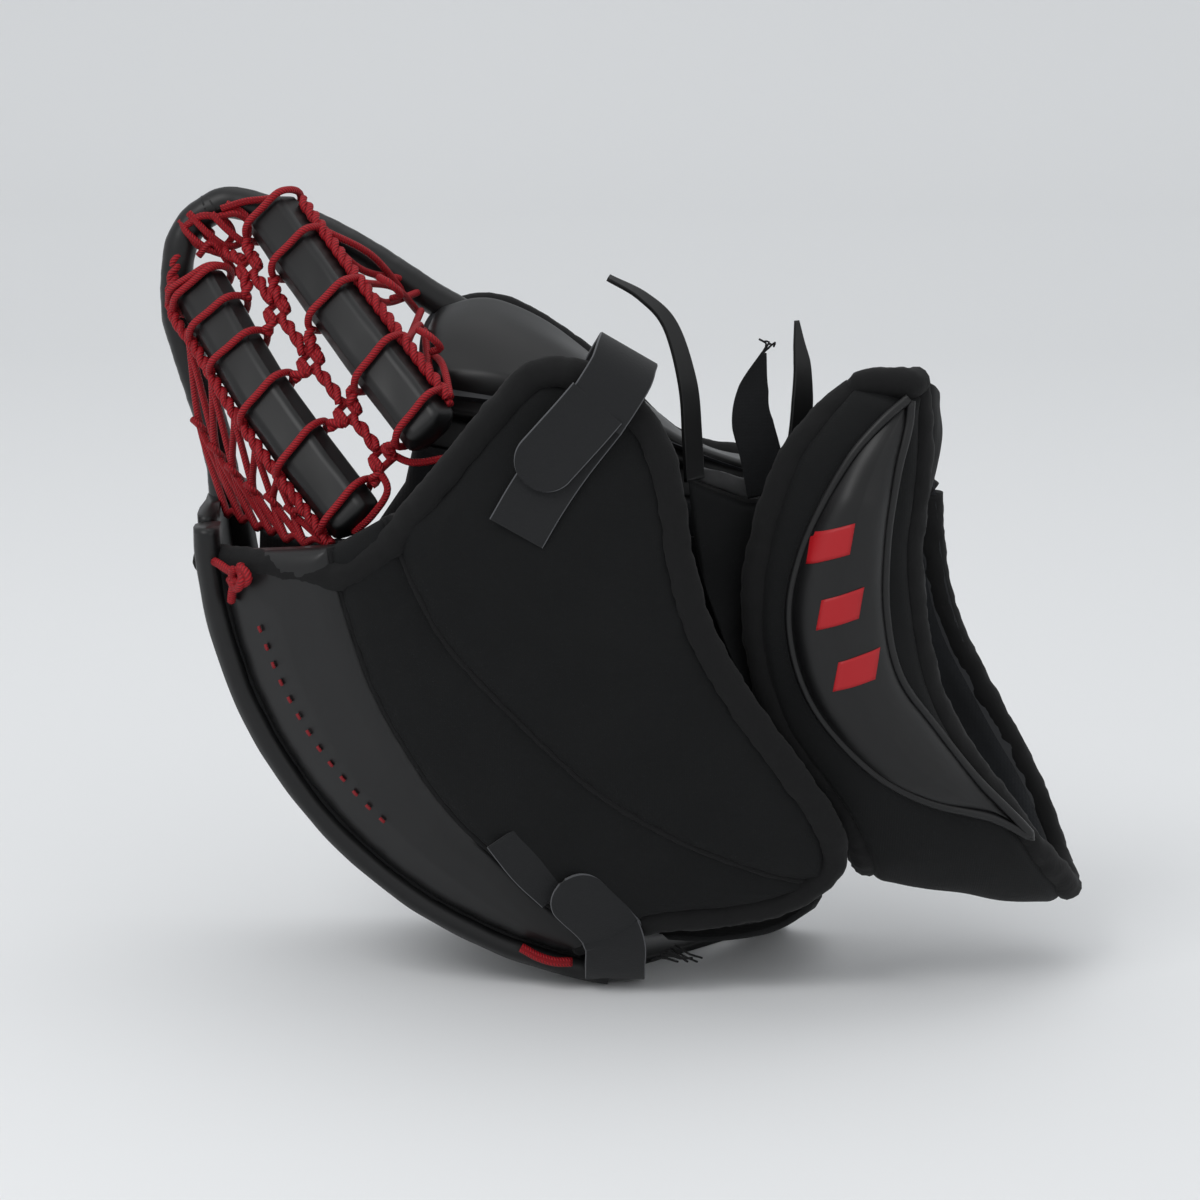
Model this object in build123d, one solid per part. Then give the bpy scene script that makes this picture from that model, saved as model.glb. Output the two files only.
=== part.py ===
from build123d import *
import math
import os

os.makedirs("parts", exist_ok=True)

# A catching glove for an ice hockey goalkeeper, left hand, standing on its little-finger edge.
# Millimetres. X runs from the fingertips (-X) to the cuff (+X), Y from the back of the hand (-Y)
# to the catching face (+Y), Z up from the floor. The part's base sits at Z = 0.

# ---- driving sizes
shift = Vector(-1.54, 0.83, 0)     # puts the middle of the whole glove over the origin
ringX = 27.0                      # centre of the round back of the hand
ringZ = 198.0
ringR = 200.0                     # outside of the round edge
weltR = 190.0                     # where the finger strip meets the edge welt
backPeak = -70.0                  # outermost level of the back of the hand
backDrop = 40.0                   # how far the back has curved away at radius 185
bowlFloor = 6.0                   # catching face in the middle of the palm
bowlRise = 58.0                   # how far the catching face rises to the rim at radius 184
panelThick = 11.0                 # stitched back panels
foamThick = 7.0                   # foam under the panels
plateThick = 2.5                  # plastic plate under the foam
linerThick = 2.0                  # lining cloth
palmSkin = 3.0                    # palm leather
palmFoamThick = 9.0               # palm foam
bindingR = 5.0                    # rolled binding around the back
laceR = 1.9                       # knitted pocket lace
hoopR = 7.0                       # leather hoop around the pocket
cuffThick = 14.0                  # cuff wall, all layers
strapThick = 2.4                  # webbing and hook-and-loop strap

# ---- outlines seen from the back of the hand, as (x, z)
fingertipEdge = [(-172, 186), (-148, 187), (-129, 185.5), (-113, 186), (-97, 197), (-80, 218),
                 (-57, 246), (-45, 260), (-37, 267.5), (-25, 270.5), (-10, 268), (6, 259)]
rightEdge = [(6, 259), (18, 242), (25.5, 218), (29.5, 191), (37.5, 163), (53, 135),
             (73.5, 105.5), (90, 79), (94, 61), (87, 46)]
bottomEdge = [(87, 46), (71, 36), (47, 30), (15, 26), (-16, 13)]
seamOuter = [(-116, 196), (-113, 179), (-100, 136), (-82.5, 102), (-66.5, 78.5), (-49, 60.5), (-29, 38.5),
             (-6, 22), (6, 8)]
seamInner = [(-93, 212), (-88.5, 199), (-80.5, 177.5), (-69, 155), (-48, 131), (-12.5, 96), (18.5, 75),
             (44.5, 62), (68, 53), (90, 47)]


# ---- shape helpers
def backY(r):
    return backPeak + backDrop * (r / 185.0) ** 3.4


def bowlY(r):
    return bowlFloor + bowlRise * (r / 184.0) ** 4.3


def slope(curve, r):
    return (curve(r + 0.5) - curve(max(r - 0.5, 0))) / (0.5 + min(r, 0.5))


def offsetPoint(curve, r, d):
    """Point of a profile moved d towards +Y along its own normal."""
    m = slope(curve, r)
    s = math.hypot(1, m)
    return (r - m * d / s, curve(r) + d / s)


def polar(x, z):
    return math.hypot(x - ringX, z - ringZ)


def turned(curve, d0, d1):
    """Round layer between two offsets of a profile, turned about the ring centre."""
    steps = [weltR * k / 7.0 for k in range(8)]
    low = [offsetPoint(curve, r, d0) for r in steps]
    high = [offsetPoint(curve, r, d1) for r in steps]
    edgeA = Spline(*[(ringX + max(r, 0), y, ringZ) for r, y in low])
    edgeB = Spline(*[(ringX + max(r, 0), y, ringZ) for r, y in high])
    section = Face(Wire([edgeA, Line(edgeA @ 1, edgeB @ 1), edgeB, Line(edgeA @ 0, edgeB @ 0)]))
    return Solid.revolve(section, 360, Axis((ringX, 0, ringZ), (0, 1, 0)))


def ringPiece(section, fromDeg, toDeg):
    """Solid turned about the ring centre from a closed (radius, y) outline; 270 degrees is down."""
    wire = Wire.make_polygon([(ringX + r, y, ringZ) for r, y in section], close=True)
    axis = Axis((ringX, 0, ringZ), (0, -1, 0))
    solid = Solid.revolve(Face(wire), toDeg - fromDeg, axis)
    return solid.rotate(axis, fromDeg)


def disc(r):
    """Round column about the ring centre, for trimming a turned layer."""
    return Solid.make_cylinder(r, 280, Plane(origin=(ringX, -140, ringZ), z_dir=(0, 1, 0)))


def outline(*runs):
    """Closed (x, z) outline from runs of points: two points make a line, more make a smooth curve."""
    edges = []
    for run in runs:
        pts = [(x, 0, z) for x, z in run]
        edges.append(Line(*pts) if len(pts) == 2 else Spline(*pts))
    return Face(Wire(edges))


def through(face, y0=-140, y1=140):
    return Solid.extrude(face.moved(Location((0, y0, 0))), Vector(0, y1 - y0, 0))


def inset(points, d):
    """Run of (x, z) points moved d to its right-hand side."""
    out = []
    for i, (x, z) in enumerate(points):
        ax, az = points[max(i - 1, 0)]
        bx, bz = points[min(i + 1, len(points) - 1)]
        length = math.hypot(bx - ax, bz - az)
        out.append((x + d * (bz - az) / length, z - d * (bx - ax) / length))
    return out


def backOutline(d):
    """Outline of the back of the hand, d inside its outer edge."""
    top = inset(fingertipEdge, d)
    right = inset(rightEdge, d)
    bottom = inset(bottomEdge, d)
    start = (-260, top[0][1])
    cornerTop = ((top[-1][0] + right[0][0]) / 2, (top[-1][1] + right[0][1]) / 2)
    cornerLow = ((right[-1][0] + bottom[0][0]) / 2, (right[-1][1] + bottom[0][1]) / 2)
    top[-1] = cornerTop
    right[0] = cornerTop
    right[-1] = cornerLow
    bottom[0] = cornerLow
    last = (bottom[-1][0], -60)
    return outline([start, top[0]], top, right, bottom, [bottom[-1], last], [last, (-260, -60)],
                   [(-260, -60), start])


def skin(rows, fair=False):
    """Smooth skin through a grid of points; a fair one has no waves between rows that turn sharply."""
    points = [[Vector(*p) for p in row] for row in rows]
    if fair:
        weights = (1.0, 0.2, 0.05)
        return Face.make_surface_from_array_of_points(points, tol=0.1, smoothing=weights, max_deg=5)
    return Face.make_surface_from_array_of_points(points, tol=0.01)


def cushion(rowsA, rowsB, fair=False):
    """Closed solid between two smooth skins with the same grid of points."""
    faceA = skin(rowsA, fair)
    faceB = skin(rowsB, fair)
    sides = []
    for edge in faceA.edges():
        mid = edge.position_at(0.5)
        mate = min(faceB.edges(), key=lambda other: (other.position_at(0.5) - mid).length)
        sides.append(Face.make_surface_from_curves(edge, mate))
    return Solid(Shell([faceA, faceB] + sides))


def grow(rows, t):
    """Grid moved along its own normals; t is one number, or one per column."""
    out = []
    for i, row in enumerate(rows):
        line = []
        for j, p in enumerate(row):
            du = Vector(*rows[min(i + 1, len(rows) - 1)][j]) - Vector(*rows[max(i - 1, 0)][j])
            dv = Vector(*row[min(j + 1, len(row) - 1)]) - Vector(*row[max(j - 1, 0)])
            n = du.cross(dv).normalized()
            depth = t[j] if isinstance(t, (list, tuple)) else t
            q = Vector(*p) + n * depth
            line.append((q.X, q.Y, q.Z))
        out.append(line)
    return out


def mix(rowsA, rowsB, f):
    return [[tuple(a + (b - a) * f for a, b in zip(p, q)) for p, q in zip(ra, rb)]
            for ra, rb in zip(rowsA, rowsB)]


def tube(points, r):
    path = Spline(*points) if len(points) > 2 else Line(*points)
    return sweep(Plane(origin=path @ 0, z_dir=path % 0) * Circle(r), path=path)


def rod(a, b, r, gapA=0.0, gapB=0.0):
    a = Vector(*a)
    b = Vector(*b)
    d = (b - a).normalized()
    a = a + d * gapA
    length = (b - a).length - gapB
    return Solid.make_cylinder(r, length, Plane(origin=a, z_dir=d))


def ribbon(path, width, across, thick, taper=None):
    """Flat strap along a path of points; across is the direction of its width."""
    across = Vector(*across).normalized()
    rows = []
    for i, p in enumerate(path):
        half = width / 2 * (taper[i] if taper else 1.0)
        p = Vector(*p)
        a = p - across * half
        b = p + across * half
        rows.append([(a.X, a.Y, a.Z), (p.X, p.Y, p.Z), (b.X, b.Y, b.Z)])
    return cushion(rows, grow(rows, thick))


aboveFloor = Solid.make_box(600, 600, 600).moved(Location((-300, -300, 0)))

nodes = {}


def add(name, *solids):
    nodes[name] = Compound(children=[s.moved(Location(shift)) for s in solids])


def solidsOf(shape):
    return list(shape.solids())


# ---- the back of the hand: three stitched panels over foam, a plastic plate and lining
panels = turned(backY, 0, panelThick) & through(backOutline(2 * bindingR + 0.3)) & disc(weltR - 0.4)
outerSide = through(outline(seamOuter, [seamOuter[-1], (6, -60)], [(6, -60), (-260, -60)],
                            [(-260, -60), (-260, 196)], [(-260, 196), seamOuter[0]]))
innerSide = through(outline(seamInner, [seamInner[-1], (120, -60)], [(120, -60), (-260, -60)],
                            [(-260, -60), (-260, 212)], [(-260, 212), seamInner[0]]))
add("finger_edge_strip", *solidsOf(panels & outerSide))
add("back_middle_panel", *solidsOf((panels & innerSide) - outerSide))
add("back_center_panel", *solidsOf(panels - innerSide))

under = through(backOutline(2 * bindingR + 4))
level = panelThick
for name, thick, rOut in [("back_foam", foamThick, 182), ("back_plate", plateThick, 179),
                          ("back_liner", linerThick, 176)]:
    add(name, *solidsOf(turned(backY, level, level + thick) & under & disc(rOut)))
    level += thick

# rolled binding along the fingertip edge, the wrist edge and the heel edge
band = turned(backY, -0.8, panelThick + 1) & through(backOutline(0)) & disc(weltR - 0.4)
add("back_edge_binding", *[p for p in solidsOf(band - through(backOutline(2 * bindingR + 0.3))) if p.volume > 300])

# welt, leather side wall and rolled rim around the fingers
weltSection = [(weltR, -28), (weltR + 3, -31), (weltR + 7, -30), (ringR, -24), (ringR, -12), (weltR + 7, -10),
               (weltR, -10)]
add("edge_welt", *solidsOf(ringPiece(weltSection, 180, 258) & aboveFloor))
keepLow = Solid.extrude(Face(Wire.make_polygon([(-300, -60, -50), (5, -60, -50), (12, -16, -50), (62, 68, -50),
                                                 (62, 110, -50), (-300, 110, -50)], close=True)), Vector(0, 0, 500))
wall = ringPiece([(ringR - 6, -9.5), (ringR, -9.5), (ringR, 58), (ringR - 6, 58)], 180, 285)
add("finger_side_wall", *solidsOf(wall & keepLow & aboveFloor))
rimSection = [(184.5, 58.3), (199, 58.3), (ringR, 62), (ringR, 68), (198, 72), (192, 73.5), (187, 71.5), (185, 66)]
add("finger_rim_binding", *solidsOf(ringPiece(rimSection, 180, 280) & aboveFloor))
wallFoam = ringPiece([(193.7, -9), (193.7, 57.8), (187, 57.8), (172, 34), (163, 20), (166, -4), (178, -9)], 178, 262)
belowTips = through(outline([(-260, 176), (-146, 176)], [(-146, 176), (-112, 174)], [(-112, 174), (60, 174)],
                            [(60, 174), (60, -60)], [(60, -60), (-260, -60)], [(-260, -60), (-260, 176)]))
wallFoam = wallFoam & belowTips
add("finger_wall_foam", *solidsOf(wallFoam & aboveFloor))

# the side under the little finger, from the wall to the heel
sideRows = [[(17, -24, 25), (42, -24, 24), (66, -24, 29), (82, -24, 40)],
            [(24, -8, 22), (46, -8, 22), (68, -8, 26), (86, -8, 36)],
            [(42, 24, 13), (56, 24, 14), (72, 24, 20), (88, 24, 30)],
            [(62.5, 56, 8), (68, 56, 10), (78, 54, 16), (90, 50, 28)]]
add("little_finger_side", cushion(sideRows, grow(sideRows, -6)))

# ---- palm: catching leather, foam and lining, from the rim to the heel
foldLow = [(-84, 226), (62, 196)]
palmTop = inset(fingertipEdge, 4)[:5] + [(-86, 213)]
palmFace = outline([(-260, palmTop[0][1]), palmTop[0]], palmTop, [palmTop[-1], foldLow[0]], foldLow,
                   [foldLow[1], (78, 176), (86, 130), (87, 85), (82, 56)],
                   [(82, 56), (62, 38), (20, 30), (-24, 26)], [(-24, 26), (-30, -60)],
                   [(-30, -60), (-260, -60)], [(-260, -60), (-260, palmTop[0][1])])
palmCut = through(palmFace)
for name, d0, d1 in [("palm_leather", -palmSkin, 0), ("palm_foam", -palmSkin - palmFoamThick, -palmSkin),
                     ("palm_liner", -palmSkin - palmFoamThick - linerThick, -palmSkin - palmFoamThick)]:
    layer = turned(bowlY, d0, d1) & palmCut & disc(181)
    layer = layer - wallFoam
    add(name, *[s for s in solidsOf(layer) if s.volume > 500])

# four finger stalls inside, and the palm strap
stalls = []
for a, b in [((0, -25, 204), (-112, -13, 176)), ((-4, -25, 176), (-106, -13, 138)),
             ((0, -25, 148), (-84, -13, 98)), ((6, -25, 121), (-48, -13, 68))]:
    stalls.append(rod(a, b, 11) - rod(a, b, 9.8, -1, 2))
add("finger_stalls", *[s for stall in stalls for s in solidsOf(stall)])
add("palm_strap", Solid.make_box(34, 2, 92).moved(Location((20, -10.6, 96))))

# ---- closing straps with hook and loop tabs
def onBack(x, z, lift):
    return (x, backY(polar(x, z)) - lift, z)


def surfacePiece(face, d0, d1):
    return turned(backY, d0, d1) & through(face)


upperPatch = outline([(-50, 205), (-28, 202)], [(-28, 202), (4, 243)], [(4, 243), (-22, 256)], [(-22, 256), (-50, 205)])
add("upper_hook_patch", *solidsOf(surfacePiece(upperPatch, -2.2, 0)))
upperTab = outline([(-20, 261), (-43, 239), (-44, 228), (-33, 221), (-22, 222)], [(-22, 222), (6, 248)],
                   [(6, 248), (-20, 261)])
add("upper_strap_tab", *solidsOf(surfacePiece(upperTab, -5.2, -2.6)))
bend = [(-4, -72, 258.5), (0, -71.5, 269), (3, -66, 276), (4, -58, 278), (3, -50, 275), (-2, -44, 262),
        (-6, -41, 246)]
add("upper_strap", ribbon(bend, 29, (0.86, 0, -0.5), -strapThick))

lowerPatch = outline([(-48, 73), (-36, 77.5)], [(-36, 77.5), (-14, 52)], [(-14, 52), (-33, 46)], [(-33, 46), (-48, 73)])
add("lower_hook_patch", *solidsOf(surfacePiece(lowerPatch, -2.2, 0)))
lowerTab = outline([(-9, 26), (-32, 46)], [(-32, 46), (-30, 55), (-21, 59), (-11, 56)], [(-11, 56), (10, 38)],
                   [(10, 38), (8, 27)], [(8, 27), (-9, 26)])
add("lower_strap_tab", *solidsOf(surfacePiece(lowerTab, -5.2, -2.6)))
wrap = [(-1, -45.5, 23.5), (-1, -40, 14), (-1, -32, 7), (-1, -22, 3.4), (-1, -10.5, 3.2)]
add("lower_strap", *solidsOf(ribbon(wrap, 26, (1, 0, 0), strapThick) & aboveFloor))

# ---- thumb: catching leather, foam with the thumb stall, plastic insert and outer cover
thumbIn = [[(-80, 9, 231), (-45, 9, 224), (0, 9, 215), (36, 9, 207), (64, 10, 202)],
           [(-82, 36, 244), (-48, 38, 244), (-8, 38, 228), (30, 38, 206), (63, 38, 199)],
           [(-78, 62, 255), (-50, 66, 257), (-14, 66, 236), (24, 62, 204), (60, 60, 198)]]
thumbOut = [[(-80, -6, 251), (-45, -14, 249), (0, -14, 240), (36, -6, 224), (64, -2, 214)],
            [(-82, 14, 270), (-47, 14, 272), (-8, 16, 254), (30, 24, 224), (63, 26, 213)],
            [(-79, 43, 277), (-50, 46, 282), (-14, 47, 260), (24, 48, 221), (60, 50, 210)]]
for name, f0, f1 in [("thumb_leather", 0, 0.09), ("thumb_foam", 0.09, 0.72), ("thumb_plate", 0.72, 0.80),
                     ("thumb_cover", 0.80, 1.0)]:
    piece = cushion(mix(thumbIn, thumbOut, f0), mix(thumbIn, thumbOut, f1))
    if name == "thumb_foam":
        path = mix(thumbIn, thumbOut, 0.40)[1]
        last = mix([[path[1]]], [[path[0]]], 0.7)[0][0]
        stall = tube([path[2], path[1], last], 6.5)
        piece = piece - stall
        add("thumb_stall", *solidsOf(stall - tube([path[2], path[1], last], 5.5)))
    add(name, *solidsOf(piece))
rim = mix(thumbIn, thumbOut, 0.5)[2]
add("thumb_rim_binding", tube([(x, y + 7.2, z + 4.2) for x, y, z in rim], 6.0))

# ---- pocket hoop, lace bars and lacing
hoopLeft = [(-167, 48, 208), (-173, 53, 226), (-181, 57, 250), (-187, 60, 272), (-186, 63, 296), (-180, 65.5, 308)]
hoopTop = [(-175, 66, 313), (-163, 66, 317), (-135, 62, 309), (-112, 56, 298), (-95, 54, 289)]
add("hoop_finger_side", tube(hoopLeft, hoopR))
add("hoop_thumb_side", tube(hoopTop, hoopR))
bars = {"bar_upper": [(-143, 50, 311), (-112, 6, 277), (-80, -29, 242)],
        "bar_lower": [(-173, 48, 284), (-143, 6, 246), (-110, -22, 206)]}


def barFrame(path, f):
    at = path @ f
    along = path % f
    wide = along.cross(Vector(0, 1, 0)).normalized()
    return Plane(origin=at, x_dir=wide, z_dir=along)


for name, points in bars.items():
    path = Spline(*points)
    cover = sweep(barFrame(path, 0) * (Ellipse(12.5, 7) - Ellipse(10.8, 5.3)), path=path)
    core = sweep(barFrame(path, 0) * Ellipse(10.8, 5.3), path=path)
    add(name + "_cover", *solidsOf(cover))
    add(name + "_core", *solidsOf(core))
    wraps = []
    for f in [0.12, 0.26, 0.40, 0.54, 0.68, 0.82]:
        frame = barFrame(path, f)
        loop = Edge.make_ellipse(14.6, 9.1, plane=frame)
        wraps.append(sweep(Plane(origin=loop @ 0, z_dir=loop % 0) * Circle(laceR), path=loop))
    add(name + "_wraps", *[s for w in wraps for s in solidsOf(w)])

upperPath = Spline(*bars["bar_upper"])
lowerPath = Spline(*bars["bar_lower"])
chain = []
for side in (1, -1):
    pts = []
    for k in range(15):
        f = 0.02 + 0.82 * k / 14.0
        frame = barFrame(upperPath, f)
        mid = (upperPath @ f + lowerPath @ f) * 0.5
        angle = (0 if side > 0 else math.pi) + 2 * math.pi * 2 * k / 14.0
        p = mid + frame.x_dir * (2.6 * math.cos(angle)) + frame.y_dir * (2.6 * math.sin(angle))
        pts.append((p.X, p.Y, p.Z))
    chain.append(tube(pts, laceR))
for f in [0.05, 0.19, 0.33, 0.47, 0.61, 0.75]:
    mid = (upperPath @ f + lowerPath @ f) * 0.5
    for start in (upperPath @ f, lowerPath @ f):
        chain.append(rod(start, mid, laceR, 13.0, 5.4))
add("pocket_chain", *[s for c in chain for s in solidsOf(c)])


def net(edgeA, edgeB, count, gapA, gapB):
    """Diamond lacing between two edges, one family of cords lying over the other."""
    runA = Spline(*edgeA)
    runB = Spline(*edgeB)
    normal = (runA @ 1 - runA @ 0).cross(runB @ 0.5 - runA @ 0.5).normalized()
    cords = []
    for k in range(count):
        here = k / count
        there = (k + 1) / count
        lift = normal * (laceR + 0.2)
        cords.append(rod((runA @ here) + lift, (runB @ there) + lift, laceR, gapA, gapB))
        cords.append(rod((runA @ there) - lift, (runB @ here) - lift, laceR, gapA, gapB))
    return cords


fingerNet = net([(-158, 34, 199), (-140, 16, 197), (-120, -4, 196), (-108, -14, 200)],
                [(-174, 52, 252), (-167, 36, 258), (-153, 16, 238), (-132, -6, 212)], 6, 5, 10)
add("finger_side_lacing", *fingerNet)
thumbNet = net([(-130, 48, 304), (-104, 22, 280), (-82, -4, 258)],
               [(-90, 46, 272), (-91, 32, 264), (-89, 14, 252)], 5, 14, 2)
add("thumb_side_lacing", *thumbNet)

knot = [(-160, -39, 184), (-152, -45, 179), (-146, -47.5, 181), (-141, -47.5, 174), (-134, -48, 170)]
add("fingertip_knot", tube(knot, laceR))
add("edge_lace_end", rod((-38, -33.5, 19), (-20, -33.5, 15), laceR))

# ---- the hand opening: wrist gusset, leather flap and the loose strap ends
gussetRows = [[(34, -37, 212), (54, -31, 208), (74, -30, 224)], [(40, -37, 180), (54, -32, 178), (70, -31, 180)],
              [(48, -36, 150), (58, -32, 148), (70, -31, 148)], [(60, -34, 120), (70, -31, 118), (82, -31, 116)],
              [(76, -33, 96), (84, -31, 95), (92, -30, 94)]]
add("wrist_gusset", cushion(gussetRows, grow(gussetRows, 2.4)))
flapRows = [[(31, -15, 220), (56, -11, 213), (80, -17, 241)], [(31, -9, 212), (56, -6, 205), (79, -12, 232)]]
add("opening_flap", cushion(flapRows, grow(flapRows, 2.4)))
add("strap_end_curved", ribbon([(33, -23, 220), (29, -23, 252), (21, -21, 278), (10, -19, 289), (-4, -17, 297)], 14,
                               (0.9, 0, 0.42), 2.4, [1, 1, 0.8, 0.6, 0.25]))
add("strap_end_ribbon", ribbon([(57, -22, 217), (50, -22, 240), (50, -21, 256), (59, -19, 268)], 16, (1, 0, 0), 1.8))
add("strap_end_pointed", ribbon([(71, -23, 219), (74, -23, 245), (73, -21, 268), (73, -20, 278)], 12,
                                (1, 0, 0), 2.4, [1, 0.9, 0.8, 0.2]))

# ---- cuff: a trough of lining, plastic, foam and cover around the wrist
cuffIn = [[(101, -34, 248), (107, -37, 251), (113, -36, 253), (118, -32, 254)],
          [(73, -36, 222), (90, -41, 224), (108, -40, 226), (123, -34, 228)],
          [(60, -37, 172), (82, -44, 174), (103, -43, 176), (121, -36, 178)],
          [(68, -37, 124), (90, -43, 123), (112, -41, 122), (132, -34, 121)],
          [(96, -34, 86), (116, -37, 82), (138, -33, 78), (159, -26, 75)],
          [(107, -14, 58), (132, -14, 54), (159, -9, 50), (185, -2, 47)],
          [(106, 12, 60), (133, 14, 51), (162, 17, 44), (190, 20, 40)],
          [(100, 27, 92), (125, 30, 84), (152, 32, 77), (176, 33, 73)],
          [(94, 30, 148), (110, 34, 148), (127, 35, 148), (143, 34, 147)],
          [(93, 27, 200), (105, 31, 205), (119, 33, 209), (133, 31, 213)]]
outward = -1 if grow(cuffIn, 1)[2][1][1] > cuffIn[2][1][1] else 1
cuffOut = grow(cuffIn, outward * cuffThick)
for name, f0, f1 in [("cuff_liner", 0, 0.15), ("cuff_plate", 0.15, 0.33), ("cuff_foam", 0.33, 0.82),
                     ("cuff_cover", 0.82, 1.0)]:
    add(name, cushion(mix(cuffIn, cuffOut, f0), mix(cuffIn, cuffOut, f1), fair=True))

leafLow = mix(cuffIn, cuffOut, 1.02)
crown = [4, 10, 10, 4]            # how far the pad stands off the cuff, from edge to edge
leafHigh = grow(leafLow, [outward * c for c in crown])
leaf = outline([(117, 250), (92, 228), (74, 194), (69, 163), (77, 131), (99, 104), (124, 88), (152, 79)],
               [(152, 79), (163, 73)], [(163, 73), (143, 94), (122, 127), (110, 161), (111, 192), (118, 234)],
               [(118, 234), (117, 250)])
add("cuff_pad", *solidsOf(cushion(leafLow, leafHigh, fair=True) & through(leaf, -140, -20)))
markLow = grow(leafLow, [outward * (c + 0.3) for c in crown])
markHigh = grow(leafLow, [outward * (c + 1.5) for c in crown])
marks = []
for z in (150, 172, 194):
    bar = outline([(80, z), (100, z + 8)], [(100, z + 8), (100, z + 19)], [(100, z + 19), (80, z + 11)],
                  [(80, z + 11), (80, z)])
    marks += solidsOf(cushion(markLow, markHigh, fair=True) & through(bar, -140, -20))
add("cuff_mark", *marks)
mid = mix(cuffIn, cuffOut, 0.5)
edgeR = 4.4                        # rolled binding of the cuff
handEdge = [tuple(Vector(*row[0]) - (Vector(*row[1]) - Vector(*row[0])).normalized() * edgeR) for row in mid]
armEdge = [tuple(Vector(*row[-1]) + (Vector(*row[-1]) - Vector(*row[-2])).normalized() * edgeR) for row in mid]
add("cuff_hand_edge", tube(handEdge, edgeR))
add("cuff_arm_edge", tube(armEdge, edgeR))
add("cuff_label", Solid.make_box(7, 0.8, 18).rotate(Axis((0, 0, 0), (0, 1, 0)), 15).moved(
    Location((116, 33.0, 146))))

low = min(c.bounding_box().min.Z for c in nodes.values())
high = max(c.bounding_box().max.Z for c in nodes.values())
print("nodes", len(nodes), "z", round(low, 2), round(high, 2))
for axisName in ("X", "Y"):
    a = min(getattr(c.bounding_box().min, axisName) for c in nodes.values())
    b = max(getattr(c.bounding_box().max, axisName) for c in nodes.values())
    print(axisName, round(a, 2), round(b, 2), "middle", round((a + b) / 2, 3))
for name, shape in nodes.items():
    shape.label = name
    export_step(shape, "parts/" + name + ".step")
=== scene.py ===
import math
import bpy
import numpy as np
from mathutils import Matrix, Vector, noise


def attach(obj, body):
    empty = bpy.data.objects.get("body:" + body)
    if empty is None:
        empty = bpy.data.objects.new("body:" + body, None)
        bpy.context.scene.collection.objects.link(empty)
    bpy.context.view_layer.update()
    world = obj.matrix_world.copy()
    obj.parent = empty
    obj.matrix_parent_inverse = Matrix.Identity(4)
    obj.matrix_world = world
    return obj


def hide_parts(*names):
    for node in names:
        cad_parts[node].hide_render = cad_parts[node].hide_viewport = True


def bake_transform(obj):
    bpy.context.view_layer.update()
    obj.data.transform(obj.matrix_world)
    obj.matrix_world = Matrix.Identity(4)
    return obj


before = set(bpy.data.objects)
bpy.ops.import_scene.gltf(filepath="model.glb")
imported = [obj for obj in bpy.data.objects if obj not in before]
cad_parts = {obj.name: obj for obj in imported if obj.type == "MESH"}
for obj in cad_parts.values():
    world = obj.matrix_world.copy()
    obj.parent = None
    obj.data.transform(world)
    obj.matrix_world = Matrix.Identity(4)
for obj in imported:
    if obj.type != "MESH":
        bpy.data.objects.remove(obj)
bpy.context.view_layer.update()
print("frame loaded")

# All shapes below are written in millimetres in the part's own drawing frame:
# X from the fingertips to the cuff, Y from the back of the hand to the catching face, Z up.
mm = 0.001
place = np.array((-1.54, 0.83, 0.0))      # from the drawing frame to the row frame
ring = {"x": 27.0, "z": 198.0, "radius": 200.0, "welt": 190.0}   # round finger edge
cover = {"peak": -70.0, "drop": 40.0, "reach": 185.0, "power": 3.4, "inside": -9.5}   # dome of the back
bowl = {"floor": 6.0, "rise": 58.0, "reach": 184.0, "power": 4.3}                     # hollow of the face

# outlines seen from the back of the hand, as (x, z)
fingertipEdge = [(-172, 186), (-148, 187), (-129, 185.5), (-113, 186), (-97, 197), (-80, 218),
                 (-57, 246), (-45, 260), (-37, 267.5), (-25, 270.5), (-10, 268), (6, 259)]
wristEdge = [(6, 259), (18, 242), (25.5, 218), (29.5, 191), (37.5, 163), (53, 135),
             (73.5, 105.5), (90, 79), (94, 61), (87, 46)]
heelEdge = [(87, 46), (71, 36), (47, 30), (15, 26), (-16, 13)]
seamOuter = [(-116, 192), (-113, 179), (-100, 136), (-82.5, 102), (-66.5, 78.5), (-49, 60.5), (-29, 38.5),
             (-6, 22)]
seamInner = [(-93, 206), (-88.5, 195), (-80.5, 176), (-69, 155), (-48, 131), (-12.5, 96), (18.5, 75),
             (44.5, 62), (68, 53), (86, 50)]


def backY(r):
    return cover["peak"] + cover["drop"] * (r / cover["reach"]) ** cover["power"]


def bowlY(r):
    return bowl["floor"] + bowl["rise"] * (r / bowl["reach"]) ** bowl["power"]


# evenly spaced points on a smooth curve through the given ones
def spline(points, count):
    p = np.array(points, float)
    p = np.vstack([2 * p[0] - p[1], p, 2 * p[-1] - p[-2]])
    fine = []
    for k in range(1, len(p) - 2):
        a, b, c, d = p[k - 1], p[k], p[k + 1], p[k + 2]
        for t in np.linspace(0, 1, 24, endpoint=(k == len(p) - 3)):
            fine.append(0.5 * (2 * b + (c - a) * t + (2 * a - 5 * b + 4 * c - d) * t * t
                               + (3 * b - a - 3 * c + d) * t ** 3))
    fine = np.array(fine)
    run = np.concatenate([[0], np.cumsum(np.linalg.norm(np.diff(fine, axis=0), axis=1))])
    at = np.linspace(0, run[-1], count)
    return np.stack([np.interp(at, run, fine[:, i]) for i in range(p.shape[1])], axis=1)


# run of (x, z) points moved d to its right-hand side
def inset(points, d):
    p = np.array(points, float)
    t = np.gradient(p, axis=0)
    t /= np.linalg.norm(t, axis=1)[:, None]
    return p + d * np.stack([t[:, 1], -t[:, 0]], axis=1)


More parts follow.
